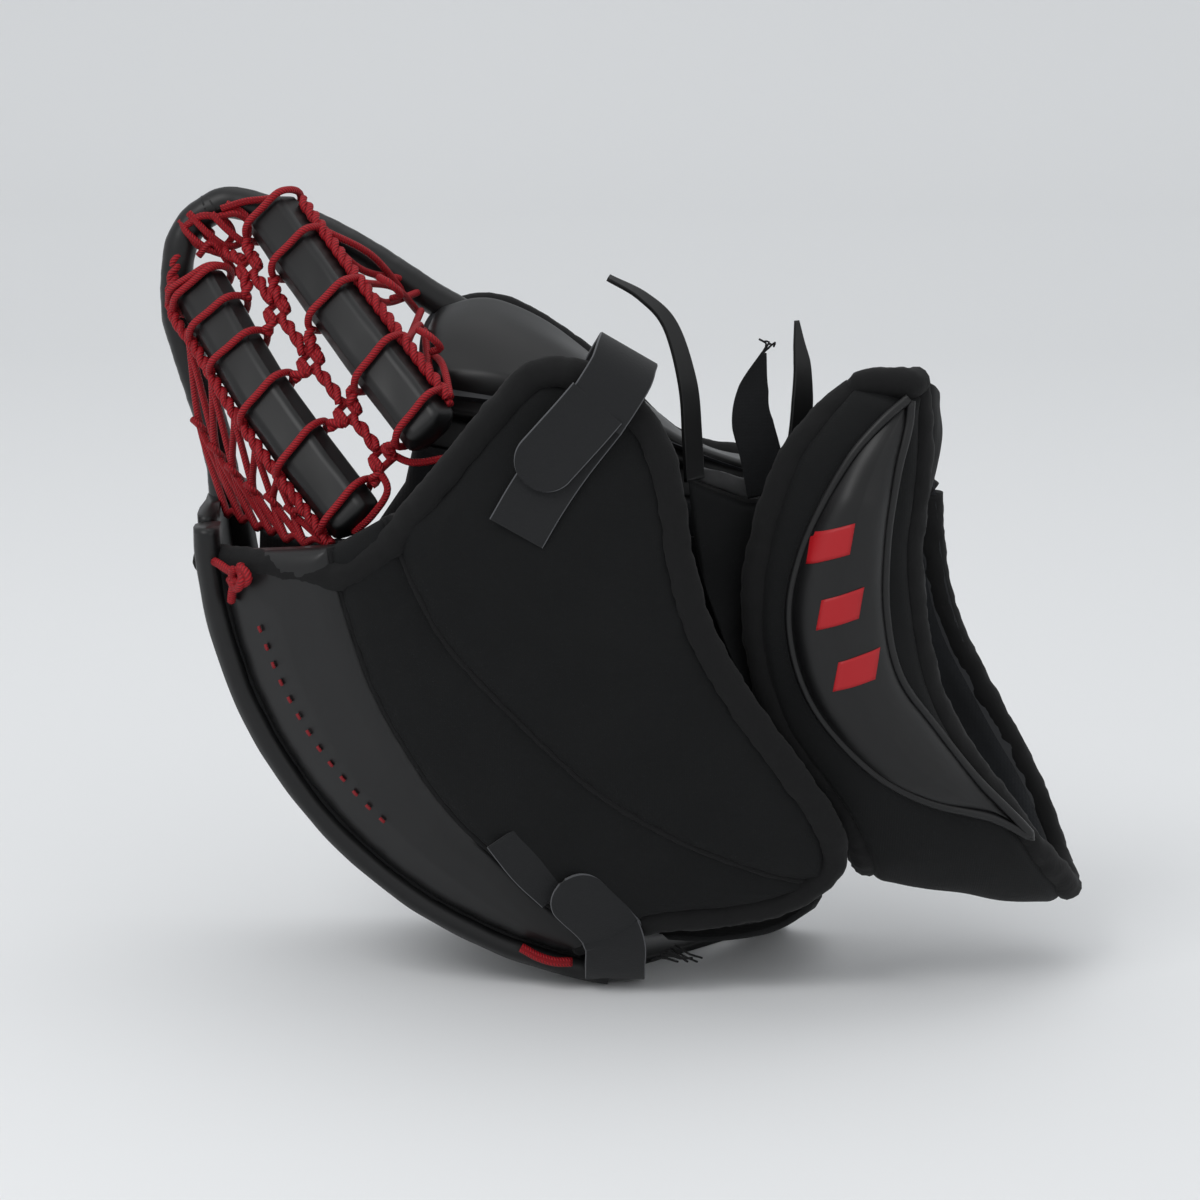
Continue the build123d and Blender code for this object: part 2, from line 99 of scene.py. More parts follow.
# smooth grid of points through a coarse grid
def patch(rows, countU, countV):
    across = np.array([spline(row, countV) for row in rows])
    return np.array([spline(across[:, j], countU) for j in range(countV)]).transpose(1, 0, 2)


def gridNormals(grid):
    du = np.gradient(grid, axis=0)
    dv = np.gradient(grid, axis=1)
    n = np.cross(du, dv)
    return n / np.maximum(np.linalg.norm(n, axis=2), 1e-9)[:, :, None]


# gentle unevenness of a soft piece, as a length for each point; size is the lump size in mm
def roll(points, amount, size, seed=0.0):
    return np.array([amount * noise.noise(Vector(p) / size + Vector((seed, seed, seed))) for p in points])


# point over the back of the hand, lift outside its surface
def onBack(x, z, lift=0.0):
    dx, dz = x - ring["x"], z - ring["z"]
    r = math.hypot(dx, dz)
    slope = cover["drop"] * cover["power"] / cover["reach"] * (r / cover["reach"]) ** (cover["power"] - 1)
    s = math.hypot(1, slope)
    out = slope * lift / s / max(r, 1e-6)
    return np.array((x + out * dx, backY(r) - lift / s, z + out * dz))


def addMesh(name, points, faces, materials, indices=None, uv=None):
    mesh = bpy.data.meshes.new(name)
    mesh.from_pydata(((np.array(points) + place) * mm).tolist(), [], faces)
    for material in materials:
        mesh.materials.append(material)
    if indices is not None:
        mesh.polygons.foreach_set("material_index", indices)
    if uv is not None:
        layer = mesh.uv_layers.new(name="run")
        flat = np.array([uv[v] for f in faces for v in f], float)
        layer.data.foreach_set("uv", flat.ravel())
    mesh.polygons.foreach_set("use_smooth", [True] * len(mesh.polygons))
    obj = bpy.data.objects.new(name, mesh)
    bpy.context.scene.collection.objects.link(obj)
    mesh.validate()
    return obj


# points, faces and run coordinates of a round cord
def tubeMesh(points, radius, sides):
    p = np.array(points, float)
    n = len(p)
    t = np.gradient(p, axis=0)
    t /= np.maximum(np.linalg.norm(t, axis=1), 1e-9)[:, None]
    side = np.cross(t[0], (0.3, 0.5, 0.8))
    verts, uv, faces = [], [], []
    run = 0.0
    for i in range(n):
        side = side - t[i] * np.dot(side, t[i])
        side /= max(np.linalg.norm(side), 1e-9)
        up = np.cross(side, t[i])
        if i:
            run += np.linalg.norm(p[i] - p[i - 1])
        for k in range(sides):
            a = 2 * math.pi * k / sides
            verts.append(p[i] + side * radius * math.cos(a) + up * radius * math.sin(a))
            uv.append((run * mm * 100, k / sides))   # one unit to 10 mm of cord
    for i in range(n - 1):
        for k in range(sides):
            m = (k + 1) % sides
            faces.append((i * sides + k, i * sides + m, (i + 1) * sides + m, (i + 1) * sides + k))
    faces.append(tuple(range(sides))[::-1])
    faces.append(tuple((n - 1) * sides + k for k in range(sides)))
    return np.array(verts), faces, uv


def tube(name, points, radius, material, count, sides, lump=0.0):
    line = spline(points, count)
    verts, faces, uv = tubeMesh(line, radius, sides)
    if lump:
        centre = np.repeat(line, sides, axis=0)
        away = verts - centre
        away /= np.maximum(np.linalg.norm(away, axis=1), 1e-9)[:, None]
        verts = verts + away * (roll(verts, lump, 7) + roll(verts, lump * 0.5, 2.4))[:, None]
    return addMesh(name, verts, faces, [material], uv=uv)


# several cords in one mesh
def joinTubes(name, runs, radius, material, step=2.2, sides=10):
    allVerts, allFaces, allUv, start = [], [], [], 0
    for run in runs:
        length = sum(np.linalg.norm(np.subtract(a, b)) for a, b in zip(run, run[1:]))
        line = spline(run, max(4, int(length / step)))
        verts, faces, uv = tubeMesh(line, radius, sides)
        allVerts.append(verts)
        allFaces += [tuple(v + start for v in f) for f in faces]
        allUv += uv
        start += len(verts)
    return addMesh(name, np.vstack(allVerts), allFaces, [material], uv=allUv)


# closed mesh from two grids with the same border
def closedGrid(name, top, low, materials, lowIndex=0):
    nu, nv = top.shape[:2]
    verts = np.vstack([top.reshape(-1, 3), low.reshape(-1, 3)])
    off = nu * nv
    faces, index = [], []
    for i in range(nu - 1):
        for j in range(nv - 1):
            a, b, c, d = i * nv + j, i * nv + j + 1, (i + 1) * nv + j + 1, (i + 1) * nv + j
            faces.append((a, b, c, d))
            index.append(0)
            faces.append((off + d, off + c, off + b, off + a))
            index.append(lowIndex)
    border = [i * nv for i in range(nu)] + [(nu - 1) * nv + j for j in range(1, nv)]
    border += [i * nv + nv - 1 for i in range(nu - 2, -1, -1)] + [j for j in range(nv - 2, 0, -1)]
    for a, b in zip(border, border[1:] + border[:1]):
        faces.append((a, b, off + b, off + a))
        index.append(0)
    return addMesh(name, verts, faces, materials, index)


# quarter-round rise from 0 at a seam to 1 a radius away
def softEdge(distance, radius):
    t = np.clip(distance / radius, 0, 1)
    return np.sqrt(np.maximum(0, 1 - (1 - t) ** 2))


# how far each point of a grid is from its nearest border, in mm
def edgeDistance(grid):
    du = np.linalg.norm(np.diff(grid, axis=0), axis=2)
    dv = np.linalg.norm(np.diff(grid, axis=1), axis=2)
    fromU = np.vstack([np.zeros((1, grid.shape[1])), np.cumsum(du, axis=0)])
    fromV = np.hstack([np.zeros((grid.shape[0], 1)), np.cumsum(dv, axis=1)])
    return np.minimum(np.minimum(fromU, fromU[-1] - fromU), np.minimum(fromV, fromV[:, -1:] - fromV))


# stuffed piece between two skins, rounded where they meet
def pillow(name, rowsA, rowsB, materials, edge=10.0, countU=60, countV=60, lump=0.6, size=28):
    a, b = patch(rowsA, countU, countV), patch(rowsB, countU, countV)
    middle = (a + b) / 2
    puff = softEdge(edgeDistance(middle), edge)[:, :, None]
    top = middle + (b - middle) * puff
    low = middle + (a - middle) * puff
    n = gridNormals(middle)
    wave = roll(middle.reshape(-1, 3), lump, size).reshape(countU, countV)[:, :, None]
    return closedGrid(name, top + n * wave * puff, low + n * wave * puff, materials)


# stitched, stuffed panel on the back of the hand, between two seams
def panelBetween(name, curveA, curveB, material, style, countU=150, countV=44):
    a, b = spline(curveA, countU), spline(curveB, countU)
    v = np.linspace(0, 1, countV)[None, :, None]
    flatGrid = a[:, None] * (1 - v) + b[:, None] * v
    width = np.linalg.norm(a - b, axis=1)[:, None]
    run = np.concatenate([[0], np.cumsum(np.linalg.norm(np.diff((a + b) / 2, axis=0), axis=1))])
    ends = np.minimum(run, run[-1] - run)[:, None]
    d = np.minimum(np.minimum(v[:, :, 0], 1 - v[:, :, 0]) * width, ends + 0 * v[:, :, 0])
    wide = np.maximum(width / 2, 1)
    crown = style["crown"] * np.clip(d / wide, 0, 1) ** 0.8 * np.clip(wide / 30.0, 0, 1)
    lift = softEdge(d, style["round"]) * (style["puff"] + style["sink"]) - style["sink"] + crown
    top = np.zeros((countU, countV, 3))
    low = np.zeros((countU, countV, 3))
    for i in range(countU):
        for j in range(countV):
            x, z = flatGrid[i, j]
            pleat = noise.noise(Vector((run[i] * 0.16, v[0, j, 0] * 2, style["seed"])))
            pucker = math.exp(-d[i, j] / 7.0) * pleat   # dies out 7 mm from the seam
            waveBig = noise.noise(Vector((x, z, style["seed"] * 9.1)) / style["lump"])
            h = lift[i, j] + style["pucker"] * pucker + style["wave"] * waveBig * min(1, d[i, j] / 12)
            top[i, j] = onBack(x, z, h)
            low[i, j] = onBack(x, z, cover["inside"])
    return closedGrid(name, top, low, [material])


# closed pad inside a border, filled out from its middle; height(x, z) gives its face
def fanPanel(name, border, centre, height, materials, rings=26, thick=8.0, edge=9.0, lump=0.5, seed=0.0,
             lowIndex=0):
    b = np.array(border, float)
    n = len(b)
    c = np.array(centre, float)
    top, low = [], []
    for k in range(rings + 1):
        t = 1 - (1 - k / rings) ** 1.25 if k < rings else 1.0
        for i in range(n):
            x, z = c + (b[i] - c) * t
            far = np.linalg.norm(b[i] - c) * (1 - t)
            puff = float(softEdge(np.array(far), edge))
            y = height(x, z)
            wave = lump * noise.noise(Vector((x, z, seed)) / 24.0) * puff
            top.append((x, y + (1 - puff) * thick * -0.5 + wave, z))
            low.append((x, y - thick + (1 - puff) * thick * 0.5 + wave, z))
    verts = np.array(top + low)
    off = len(top)
    faces, index = [], []
    for k in range(rings):
        for i in range(n):
            j = (i + 1) % n
            q = (k * n + i, k * n + j, (k + 1) * n + j, (k + 1) * n + i)
            if k == 0:
                q = (0, k * n + n + j, k * n + n + i)
            faces.append(q)
            index.append(0)
            faces.append(tuple(off + s for s in q[::-1]))
            index.append(lowIndex)
    for i in range(n):
        j = (i + 1) % n
        a, d = rings * n + i, rings * n + j
        faces.append((a, d, off + d, off + a))
        index.append(0)
    return addMesh(name, verts, faces, materials, index)


# closed piece swept round the finger edge from a closed (radius, y) outline
def ringSweep(name, section, fromDeg, toDeg, material, count=150, lump=0.0, size=16, keepAfter=None):
    s = np.array(section, float)
    m = len(s)
    verts, faces = [], []
    for i, deg in enumerate(np.linspace(fromDeg, toDeg, count)):
        a = math.radians(deg)
        for r, y in s:
            if keepAfter and deg > keepAfter[0]:
                far = s[:, 1].max()
                y = far + (y - far) * max(1 - (deg - keepAfter[0]) / keepAfter[1], 0.12)
            p = np.array((ring["x"] + r * math.cos(a), y, ring["z"] + r * math.sin(a)))
            bump = lump * noise.noise(Vector(p) / size)
            p[0] += bump * math.cos(a)
            p[1] += bump * 0.6
            p[2] = max(p[2] + bump * math.sin(a), 0.0)
            verts.append(p)
    for i in range(count - 1):
        for k in range(m):
            j = (k + 1) % m
            faces.append((i * m + k, i * m + j, (i + 1) * m + j, (i + 1) * m + k))
    faces.append(tuple(range(m))[::-1])
    faces.append(tuple((count - 1) * m + k for k in range(m)))
    return addMesh(name, verts, faces, [material])


# flat strap along a path, with a worn pale line along both edges
def strap(name, path, width, across, thick, materials, taper=None, cup=0.0, count=40, roundTip=0.0):
    line = spline(path, count)
    across = np.array(across, float)
    profile = np.interp(np.linspace(0, 1, count), np.linspace(0, 1, len(taper)),
                        taper) if taper else np.ones(count)
    if roundTip:
        run = np.concatenate([[0], np.cumsum(np.linalg.norm(np.diff(line, axis=0), axis=1))])
        profile = profile * np.maximum(softEdge(run[-1] - run, roundTip), 0.12)
    t = np.gradient(line, axis=0)
    t /= np.linalg.norm(t, axis=1)[:, None]
    stops = np.array([-1, -0.965, -0.9, -0.6, -0.2, 0.2, 0.6, 0.9, 0.965, 1])
    top = np.zeros((count, len(stops), 3))
    low = np.zeros_like(top)
    for i in range(count):
        side = across - t[i] * np.dot(across, t[i])
        side /= np.linalg.norm(side)
        n = np.cross(side, t[i])
        for j, s in enumerate(stops):
            edge = 0.35 if abs(s) < 1 else 0.16
            base = line[i] + side * s * width / 2 * profile[i] + n * cup * (1 - s * s)
            top[i, j] = base + n * thick * edge
            low[i, j] = base - n * thick * edge
    obj = closedGrid(name, top, low, materials)
    if len(materials) > 1:
        worn = [0] * len(obj.data.polygons)
        for k, face in enumerate(obj.data.polygons):
            js = [v % len(stops) for v in face.vertices]
            if max(js) <= 1 or min(js) >= len(stops) - 2:
                worn[k] = 1
        obj.data.polygons.foreach_set("material_index", worn)
    return obj


# hangs a piece on the body it rides on, or bakes its placement in when it is given more than one body, and
# hides the CAD nodes it stands for
def finishPiece(obj, body, slot, *nodes, pad=None):
    if isinstance(body, str):
        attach(obj, body)
    else:
        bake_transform(obj)
    if nodes:
        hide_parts(*nodes)


def linear(hexColour):
    out = []
    for k in (1, 3, 5):
        c = int(hexColour[k:k + 2], 16) / 255.0
        out.append(c / 12.92 if c <= 0.04045 else ((c + 0.055) / 1.055) ** 2.4)
    return (*out, 1.0)


# one node with its settings and its incoming links
def addNode(tree, kind, settings=None, links=None):
    node = tree.nodes.new(kind)
    for key, value in (settings or {}).items():
        if isinstance(key, int) or key in node.inputs:
            node.inputs[key].default_value = value
        else:
            setattr(node, key, value)
    for key, source in (links or {}).items():
        tree.links.new(source, node.inputs[key])
    return node


def newMaterial(name, hexColour, roughness, ior=1.5, sheen=0.0, coat=0.0, specular=0.5):
    material = bpy.data.materials.new(name)
    material.use_nodes = True
    tree = material.node_tree
    shader = tree.nodes["Principled BSDF"]
    shader.inputs["Base Color"].default_value = linear(hexColour)
    shader.inputs["Roughness"].default_value = roughness
    shader.inputs["IOR"].default_value = ior
    shader.inputs["Sheen Weight"].default_value = sheen
    shader.inputs["Sheen Roughness"].default_value = 0.6
    shader.inputs["Coat Weight"].default_value = coat
    shader.inputs["Coat Roughness"].default_value = 0.35
    shader.inputs["Specular IOR Level"].default_value = specular
    return material, tree, shader


# uneven tone over a surface, between two close colours
def mottle(tree, shader, coords, dark, light, sizeMm):
    spots = addNode(tree, "ShaderNodeTexNoise", {"Scale": 1000.0 / sizeMm, "Detail": 5.0, "Roughness": 0.6},
                    {"Vector": coords})
    ramp = addNode(tree, "ShaderNodeMapRange", {"From Min": 0.35, "From Max": 0.65},
                   {"Value": spots.outputs["Fac"]})
    blend = addNode(tree, "ShaderNodeMix", {"data_type": "RGBA"}, {"Factor": ramp.outputs["Result"]})
    blend.inputs[6].default_value = linear(dark)
    blend.inputs[7].default_value = linear(light)
    tree.links.new(blend.outputs[2], shader.inputs["Base Color"])
    return spots


# plain weave: two sets of ridges at right angles
def weaveHeight(tree, coords, pitchMm):
    ridges = []
    for direction in ("X", "Z"):
        ridges.append(addNode(tree, "ShaderNodeTexWave",
                              {"bands_direction": direction, "Scale": 1000.0 / pitchMm / 6.283 * 2,
                               "Distortion": 0.6, "Detail": 1.0}, {"Vector": coords}))
    return addNode(tree, "ShaderNodeMath", {"operation": "MULTIPLY"},
                   {0: ridges[0].outputs["Fac"], 1: ridges[1].outputs["Fac"]})


def bumpFrom(tree, shader, height, strength, depthMm):
    bump = addNode(tree, "ShaderNodeBump", {"Strength": strength, "Distance": depthMm * mm},
                   {"Height": height})
    tree.links.new(bump.outputs["Normal"], shader.inputs["Normal"])


def clothMaterial(name, dark, light, roughness, pitchMm, depthMm, sheen):
    material, tree, shader = newMaterial(name, dark, roughness, 1.5, sheen, specular=0.22)
    coords = addNode(tree, "ShaderNodeTexCoord").outputs["Object"]
    mottle(tree, shader, coords, dark, light, 38)
    weave = weaveHeight(tree, coords, pitchMm)
    fuzz = addNode(tree, "ShaderNodeTexNoise", {"Scale": 1000.0 / 1.2, "Detail": 3.0}, {"Vector": coords})
    both = addNode(tree, "ShaderNodeMath", {"operation": "ADD"},
                   {0: weave.outputs[0], 1: fuzz.outputs["Fac"]})
    bumpFrom(tree, shader, both.outputs[0], 0.5, depthMm)
    return material


def leatherMaterial(name, dark, light, roughness, grainMm, depthMm, coat=0.0):
    material, tree, shader = newMaterial(name, dark, roughness, 1.5, 0.0, coat, 0.36)
    coords = addNode(tree, "ShaderNodeTexCoord").outputs["Object"]
    spots = mottle(tree, shader, coords, dark, light, 55)
    grain = addNode(tree, "ShaderNodeTexVoronoi",
                    {"Scale": 1000.0 / grainMm, "feature": "DISTANCE_TO_EDGE"}, {"Vector": coords})
    soft = addNode(tree, "ShaderNodeTexNoise", {"Scale": 1000.0 / 9.0, "Detail": 4.0}, {"Vector": coords})
    both = addNode(tree, "ShaderNodeMath", {"operation": "MULTIPLY_ADD", 1: 0.5},
                   {0: grain.outputs["Distance"], 2: soft.outputs["Fac"]})
    bumpFrom(tree, shader, both.outputs[0], 0.35, depthMm)
    shine = addNode(tree, "ShaderNodeMapRange", {"To Min": roughness - 0.07, "To Max": roughness + 0.1},
                    {"Value": spots.outputs["Fac"]})
    tree.links.new(shine.outputs["Result"], shader.inputs["Roughness"])
    return material


# slanting stitches that follow the cord; the colour runs dark in the grooves between stitches, along the
# same wave as the bump, as painted shade
def laceMaterialGrooveShade(name, dark, light):
    material, tree, shader = newMaterial(name, light, 0.62, 1.53, 0.0, specular=0.3)
    run = addNode(tree, "ShaderNodeUVMap", {"uv_map": "run"}).outputs["UV"]
    turned = addNode(tree, "ShaderNodeMapping", {"Scale": (5.2, 3.0, 1.0)}, {"Vector": run})
    stitchReliefAndShade = addNode(tree, "ShaderNodeTexWave",
                     {"bands_direction": "DIAGONAL", "Scale": 1.0, "Distortion": 0.8},
                     {"Vector": turned.outputs["Vector"]})
    coords = addNode(tree, "ShaderNodeTexCoord").outputs["Object"]
    fuzz = addNode(tree, "ShaderNodeTexNoise", {"Scale": 1000.0 / 0.9, "Detail": 2.0}, {"Vector": coords})
    # painted shade: the dark red falls where the stitch wave, and so the bump, is low
    blend = addNode(tree, "ShaderNodeMix", {"data_type": "RGBA"}, {"Factor": stitchReliefAndShade.outputs["Fac"]})
    blend.inputs[6].default_value = linear(dark)
    blend.inputs[7].default_value = linear(light)
    tree.links.new(blend.outputs[2], shader.inputs["Base Color"])
    both = addNode(tree, "ShaderNodeMath", {"operation": "MULTIPLY_ADD", 1: 0.4},
                   {0: fuzz.outputs["Fac"], 2: stitchReliefAndShade.outputs["Fac"]})
    bumpFrom(tree, shader, both.outputs[0], 0.6, 0.5)
    return material


def plainMaterial(name, hexColour, roughness, bumpMm=0.15, sizeMm=1.5, sheen=0.0):
    material, tree, shader = newMaterial(name, hexColour, roughness, 1.5, sheen, specular=0.4)
    coords = addNode(tree, "ShaderNodeTexCoord").outputs["Object"]
    fine = addNode(tree, "ShaderNodeTexNoise", {"Scale": 1000.0 / sizeMm, "Detail": 4.0},
                   {"Vector": coords})
    bumpFrom(tree, shader, fine.outputs["Fac"], 0.5, bumpMm)
    return material


# woven ballistic nylon, 1 mm thread pitch: dull near-black that shows folds, not threads
backNylon = clothMaterial("woven ballistic nylon", "#040506", "#08090a", 0.8, 1.0, 0.10, 0.02)
# synthetic leather with a polyurethane coat, 1.1 mm embossed grain: soft broad shine on the arrises
shellLeather = leatherMaterial("coated synthetic leather", "#060607", "#0b0b0c", 0.42, 1.1, 0.10, 0.06)
# the same coat, smoother, with its colour made a little greyer as painted highlight for the lit, crowned
# strip
stripLeatherPaintedHighlight = leatherMaterial("smooth coated leather, lightened as painted highlight", "#0c0c0d", "#131314", 0.40, 1.4, 0.08, 0.08)
# tanned split leather, 1.6 mm grain: rubbed, flatter than the coated kind
palmLeather = leatherMaterial("tanned palm leather", "#060708", "#0c0d0e", 0.52, 1.6, 0.14)
# rolled woven tape, 1.6 mm ribs: fuzzy, swallows light
edgeTape = plainMaterial("rolled woven binding", "#040405", 0.95, 0.35, 1.6, 0.02)
# knitted nylon cord: slanting stitches along the cord give a ropy, dull red; the darker red in the stitch
# grooves is painted shade
knitLaceGrooveShade = laceMaterialGrooveShade("knitted nylon lace with painted groove shade", "#6c0410", "#a60b19")
# moulded nylon hooks, 0.8 mm apart: stiff, greyish, no shine
hookTape = plainMaterial("moulded hook tape", "#111214", 0.88, 0.35, 0.8, 0.05)
# brushed nylon loops, 0.9 mm apart: soft pale bloom
loopTape = plainMaterial("napped loop tape", "#131416", 0.9, 0.3, 0.9, 0.06)
# loop tape worn white along its cut edges, 0.6 mm loose fibres
wornEdge = plainMaterial("frayed tape edge", "#4c4d50", 0.9, 0.3, 0.6, 0.1)
# woven nylon webbing, 1.4 mm ribs: flat black with a faint silky edge
webbing = clothMaterial("woven nylon webbing", "#0b0c0e", "#111214", 0.82, 1.4, 0.2, 0.03)
# polyester knit brushed on its face, 1.6 mm loops: greyer than the shell, no shine
liningKnit = clothMaterial("brushed knit lining", "#0d0e10", "#141619", 0.9, 1.6, 0.15, 0.08)
# leather worn through its coat: pale grey, dry and blotched
paleLeather = leatherMaterial("worn pale leather", "#6b6b6c", "#929293", 0.7, 1.4, 0.15)
# woven satin: a warm white with a low sheen
labelSatin = plainMaterial("woven satin label", "#e9e6da", 0.5, 0.05, 0.5)
# heat-pressed vinyl film: flat even red with soft highlights
redPrint = plainMaterial("heat-pressed vinyl film", "#a30a15", 0.5, 0.04, 1.0)
# screen-printed ink rubbed by use: dull dark red
stripPrint = plainMaterial("screen-printed ink", "#7a0f18", 0.7, 0.03, 1.0)
# moulded polyethylene: smooth waxy dark grey
plate = plainMaterial("moulded polyethylene", "#26272a", 0.5, 0.05, 3.0)
print("materials made")

# inner pieces that stay as they come from the CAD
for node, material in (("back_plate", plate), ("thumb_plate", plate), ("cuff_plate", plate),
                       ("thumb_stall", liningKnit), ("finger_stalls", liningKnit), ("palm_strap", webbing)):
    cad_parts[node].data.materials.clear()
    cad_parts[node].data.materials.append(material)

# back of the hand: three stuffed panels with piped seams, bound edges and a lining
backPads = {"strip": {"crown": 2.5, "round": 9, "puff": 2.2, "sink": 2.5, "pucker": 0.5, "wave": 0.5,
                      "lump": 40, "seed": 1.0},
            "middle": {"crown": 1.5, "round": 9, "puff": 1.0, "sink": 3.0, "pucker": 0.9, "wave": 0.9,
                       "lump": 34, "seed": 2.0},
            "center": {"crown": 3.5, "round": 10, "puff": 0.6, "sink": 3.0, "pucker": 0.9, "wave": 1.3,
                       "lump": 46, "seed": 3.0},
            "bindingInset": 9.0}
weltArc = [(ring["x"] + ring["welt"] * math.cos(math.radians(d)),
            ring["z"] + ring["welt"] * math.sin(math.radians(d)))
           for d in np.linspace(184, 257, 12)]
tipLine = inset(fingertipEdge, backPads["bindingInset"])
wristLine = inset(wristEdge, backPads["bindingInset"])
heelLine = inset(heelEdge, backPads["bindingInset"])
# the finger strip takes the lightened leather: its greyer colour is painted highlight
fingerStrip = panelBetween("fingerStrip", weltArc, seamOuter, stripLeatherPaintedHighlight, backPads["strip"])
finishPiece(fingerStrip, "hand", "shell_leather", "finger_edge_strip", pad=0.8)
middleEdge = seamOuter + [tuple(p) for p in heelLine[::-1][1:4]] + [(82, 52)]
middlePanel = panelBetween("middlePanel", middleEdge, seamInner, backNylon, backPads["middle"], 170, 44)
finishPiece(middlePanel, "hand", "back_nylon", "back_middle_panel", pad=0.8)
centerEdge = [seamInner[0]] + [tuple(p) for p in tipLine[5:10]] + [(-2, 254)]
centerEdge += [tuple(p) for p in wristLine[1:8]] + [(86, 50)]
centerPanel = panelBetween("centerPanel", seamInner, centerEdge, backNylon, backPads["center"], 170, 70)
finishPiece(centerPanel, "hand", "back_nylon", "back_center_panel", "back_foam", pad=0.8)

bindingRun = [onBack(x, z, -3.0) for x, z in inset(fingertipEdge, 5.5)]
tipBinding = tube("tipBinding", bindingRun[:-1], 6.3, edgeTape, 150, 16, lump=0.8)
wristRun = [onBack(x, z, -3.0) for x, z in list(inset(fingertipEdge, 5.5)[9:11]) + [(3, 252)]
            + list(inset(wristEdge, 5.5)[1:-1]) + [(84, 52)] + list(inset(heelEdge, 5.5)[1:])]
wristBinding = tube("wristBinding", wristRun, 6.0, edgeTape, 260, 16, lump=0.8)
finishPiece(tipBinding, "hand", "edge_binding", "back_edge_binding")
finishPiece(wristBinding, "hand", "edge_binding")
for number, seam in enumerate((seamOuter, seamInner)):
    cord = tube("seamPiping%d" % (number + 1), [onBack(x, z, -2.2) for x, z in seam], 1.7, edgeTape, 160, 8,
                lump=0.4)
    finishPiece(cord, "hand", "edge_binding")
stripPiping = tube("stripPiping", [onBack(x, z, -0.4) for x, z in weltArc], 2.4, edgeTape, 160, 8, lump=0.3)
finishPiece(stripPiping, "hand", "edge_binding")

lining = {"behind": 22.5, "thick": 2.0, "edge": 4, "middle": (-20, 140)}
liningEdge = [tuple(p) for p in inset(fingertipEdge,
                                      15)[1:-1]] + [tuple(p) for p in inset(wristEdge, 15)[1:-1]]
liningEdge += [tuple(p) for p in inset(heelEdge,
                                       16)[1:]] + [(-70, 66), (-115, 110), (-142, 160), (-152, 172)]


def liningY(x, z):
    return backY(math.hypot(x - ring["x"], z - ring["z"])) + lining["behind"]


backLining = fanPanel("backLining", spline(liningEdge, 120)[:-1], lining["middle"], liningY, [liningKnit],
                      thick=lining["thick"], edge=lining["edge"])
finishPiece(backLining, "hand", "lining_cloth", "back_liner")
print("back of the hand made")

# welt, side wall and rim round the finger edge
edgeWelt = ringSweep("edgeWelt", [(189, -27), (191.5, -31), (195.5, -31.5), (199, -28), (200.2, -22),
                                  (200, -15), (197, -10), (190, -10)],
                     181, 261, shellLeather, 150, 0.5)
finishPiece(edgeWelt, "hand", "shell_leather", "edge_welt")
sideWall = ringSweep("sideWall", [(194, -9), (199, -9), (200.5, -2), (201, 12), (200.6, 30), (201, 44),
                                  (200, 57.5), (194, 57.5)],
                     180.5, 284, shellLeather, 170, 0.8, 24, (262, 20))
finishPiece(sideWall, "hand", "shell_leather", "finger_side_wall")
rimRoll = ringSweep("rimRoll", [(184.5, 64), (187, 59), (193, 57.5), (198, 59), (200.3, 64), (199, 70),
                                (194, 73.2), (188, 72)],
                    180, 280, palmLeather, 170, 0.5)
finishPiece(rimRoll, "hand", "shell_leather", "finger_rim_binding")
sideRows = [[(17, -24, 25), (42, -24, 24), (66, -24, 29), (82, -24, 40)],
            [(24, -8, 22), (46, -8, 22), (68, -8, 26), (86, -8, 36)],
            [(42, 24, 13), (56, 24, 14), (72, 24, 20), (88, 24, 30)],
            [(62.5, 56, 8), (68, 56, 10), (78, 54, 16), (90, 50, 28)]]
sideLow = [[(x, y, z - 6) for x, y, z in row] for row in sideRows]
littleFingerSide = pillow("littleFingerSide", sideLow, sideRows, [backNylon], 4, 30, 24, 0.4)
finishPiece(littleFingerSide, "hand", "back_nylon", "little_finger_side")

# the end of the fingers, closed by a leather gusset between the back and the catching face
tipTop = [onBack(x, z, -13) for x, z in inset(fingertipEdge, 13)[1:6]]
tipRows = [[tuple(p) for p in tipTop], [(p[0] - 2, -24, p[2] - 3) for p in tipTop],
           [(p[0] - 2, bowlY(math.hypot(p[0] - ring["x"], p[2] - ring["z"])) * 0.6 - 8, p[2] - 4)
            for p in tipTop],
           [(p[0], min(bowlY(math.hypot(p[0] - ring["x"], p[2] - ring["z"])), 60) - 2, p[2] - 1)
            for p in tipTop]]
tipLow = [[(x + 3, y, z - 7) for x, y, z in row] for row in tipRows]
fingertipGusset = pillow("fingertipGusset", tipLow, tipRows, [palmLeather], 4, 30, 50, 0.8, 18)
finishPiece(fingertipGusset, "hand", "foam_core", "finger_wall_foam", pad=0.8)
print("finger edge made")

# the palm and catching face, one thick pad
palm = {"foldA": (-84, 226), "foldB": (62, 196), "thick": 14.0}
palmBorder = [(-153, 180), (-128, 180), (-112, 182), (-100, 190), (-88, 208), palm["foldA"], (-40, 217),
              (10, 207), palm["foldB"],
              (78, 176), (86, 130), (87, 85), (82, 56), (62, 38), (34, 32), (20, 20), (0, 17), (-40, 28),
              (-82, 54), (-118, 88), (-142, 128), (-154, 165)]
palmPoints = np.array([q for a, b in zip(palmBorder, palmBorder[1:] + palmBorder[:1])
                       for q in np.linspace(a, b, 8, endpoint=False)])


